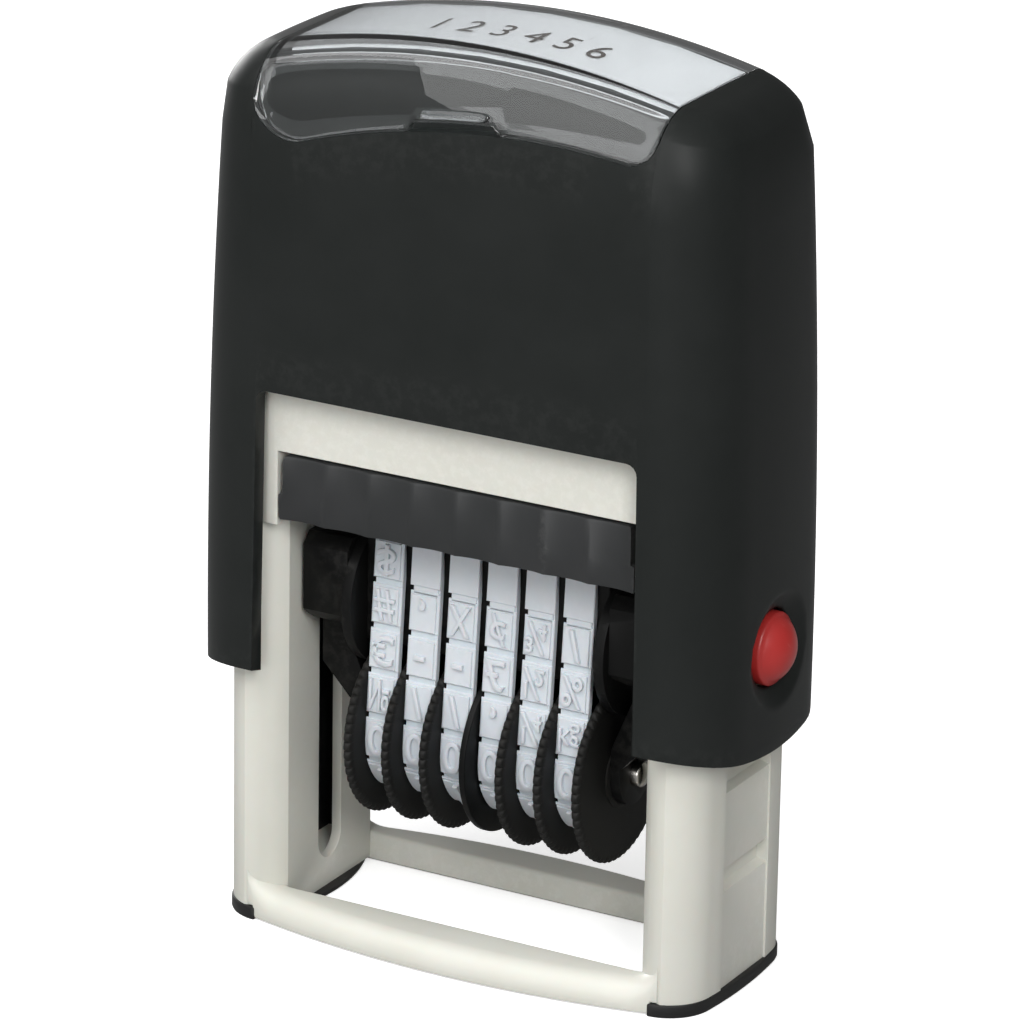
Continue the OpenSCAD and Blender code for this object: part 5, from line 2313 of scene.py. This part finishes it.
@dataclass
class Studio:
    """The floor, the lights and the camera."""

    azimuth: float = 29.0
    elevation: float = 19.92
    roll: float = 0.99
    focal_px: float = 6492.0
    frame_px: float = 1024.0
    shift: Flat = (-0.988, -43.19)
    distance: float = 672.8
    sensor: float = 36.0
    surround: Flat = (0.12, 0.55)
    bright_side: Point = (-0.2, -0.9, 0.35)
    bright_from: float = -0.6
    floor_half: float = 3000.0
    floor_light: float = 0.38
    floor_glow: float = 0.55
    boxes: tuple[Softbox, ...] = (
        Softbox("key box", place=(-190, -440, 680), aim=(0, 0, 50), size=(1000, 600), watts=4.6),
        Softbox("front box", place=(60, -790, 190), aim=(0, 0, 40), size=(340, 240), watts=1.15),
        Softbox("side box", place=(400, -440, 430), aim=(0, 0, 50), size=(160, 300), watts=2.3),
        Softbox("back box", place=(-620, 470, 120), aim=(0, 0, 40), size=(300, 180), watts=2.0),
    )

    def camera(self) -> None:
        """Adds the camera."""
        az, el, roll = (radians(a) for a in (self.azimuth, self.elevation, self.roll))
        back = Vector((sin(az) * cos(el), -cos(az) * cos(el), sin(el)))
        right = Vector((cos(az), sin(az), 0))
        up = back.cross(right)
        r = cos(roll) * right + sin(roll) * up
        u = -sin(roll) * right + cos(roll) * up
        place = (-self.shift[0] * r - self.shift[1] * u + self.distance * back) * MM
        data = bpy.data.cameras.new("camera")
        data.sensor_width = self.sensor
        data.lens = self.focal_px * self.sensor / self.frame_px
        data.clip_start, data.clip_end = 0.01, 20.0
        camera = add_object("camera", data)
        matrix = Matrix((r, u, back)).transposed().to_4x4()
        matrix.translation = place
        camera.matrix_world = matrix
        bpy.context.scene.camera = camera

    def floor(self) -> None:
        """Adds the pale floor."""
        size = self.floor_half
        shape = Moulding()
        shape.join([(-size, -size, 0), (size, -size, 0), (size, size, 0), (-size, size, 0)], [(0, 1, 2, 3)])
        plane = shape.build("studio_floor")
        made, kit = Sockets.material("pale floor")
        seen = kit.node("ShaderNodeBsdfPrincipled", {
            "Base Color": (0.9, 0.9, 0.9, 1), "Roughness": 0.9, "Specular IOR Level": 0.1,
            "Emission Color": (1, 1, 1, 1), "Emission Strength": self.floor_glow})
        unseen = kit.node("ShaderNodeBsdfDiffuse", {"Color": (*[self.floor_light] * 3, 1)})
        direct = kit.node("ShaderNodeLightPath").outputs["Is Camera Ray"]
        mixed = kit.node("ShaderNodeMixShader", {0: direct, 1: unseen.outputs[0], 2: seen.outputs[0]})
        kit.node("ShaderNodeOutputMaterial", {"Surface": mixed.outputs[0]})
        plane.data.materials.append(made)

    def world(self) -> None:
        """Sets the soft surround and plain colour handling."""
        world = bpy.data.worlds.new("soft surround")
        world.use_nodes = True
        tree = world.node_tree
        background = tree.nodes["Background"]
        background.inputs["Color"].default_value = (1, 1, 1, 1)
        kit = Sockets(tree)
        direct = kit.node("ShaderNodeLightPath").outputs["Is Camera Ray"]
        direction = kit.node("ShaderNodeTexCoord").outputs["Generated"]
        facing = kit.node(
            "ShaderNodeVectorMath", {0: direction, 1: self.bright_side}, operation="DOT_PRODUCT")
        dark, bright = self.surround
        around = kit.node("ShaderNodeMapRange", {
            "Value": facing.outputs["Value"], "From Min": self.bright_from, "From Max": 1.0,
            "To Min": dark, "To Max": bright})
        strength = kit.node("ShaderNodeMapRange", {
            "Value": direct, "To Min": around.outputs["Result"], "To Max": 1.0})
        tree.links.new(strength.outputs["Result"], background.inputs["Strength"])
        bpy.context.scene.world = world
        bpy.context.scene.view_settings.view_transform = "Standard"

    def build(self) -> None:
        """Builds the studio."""
        self.camera()
        self.floor()
        self.world()
        for softbox in self.boxes:
            softbox.build()


def main() -> None:
    """Builds the machine on its frame."""
    logging.basicConfig(level=logging.INFO, format="%(name)s %(message)s")
    Studio().build()
    shop = Workshop()
    for part in (Cap(shop), IndexWindow(shop), BaseFrame(shop), InkCartridge(shop), NumberBands(shop),
                 ThumbWheels(shop), Carrier(shop), LockButtons(shop), InnerWorks(shop)):
        part.build()
        log.info("%s is built", type(part).__name__)


if __name__ == "__main__":
    main()
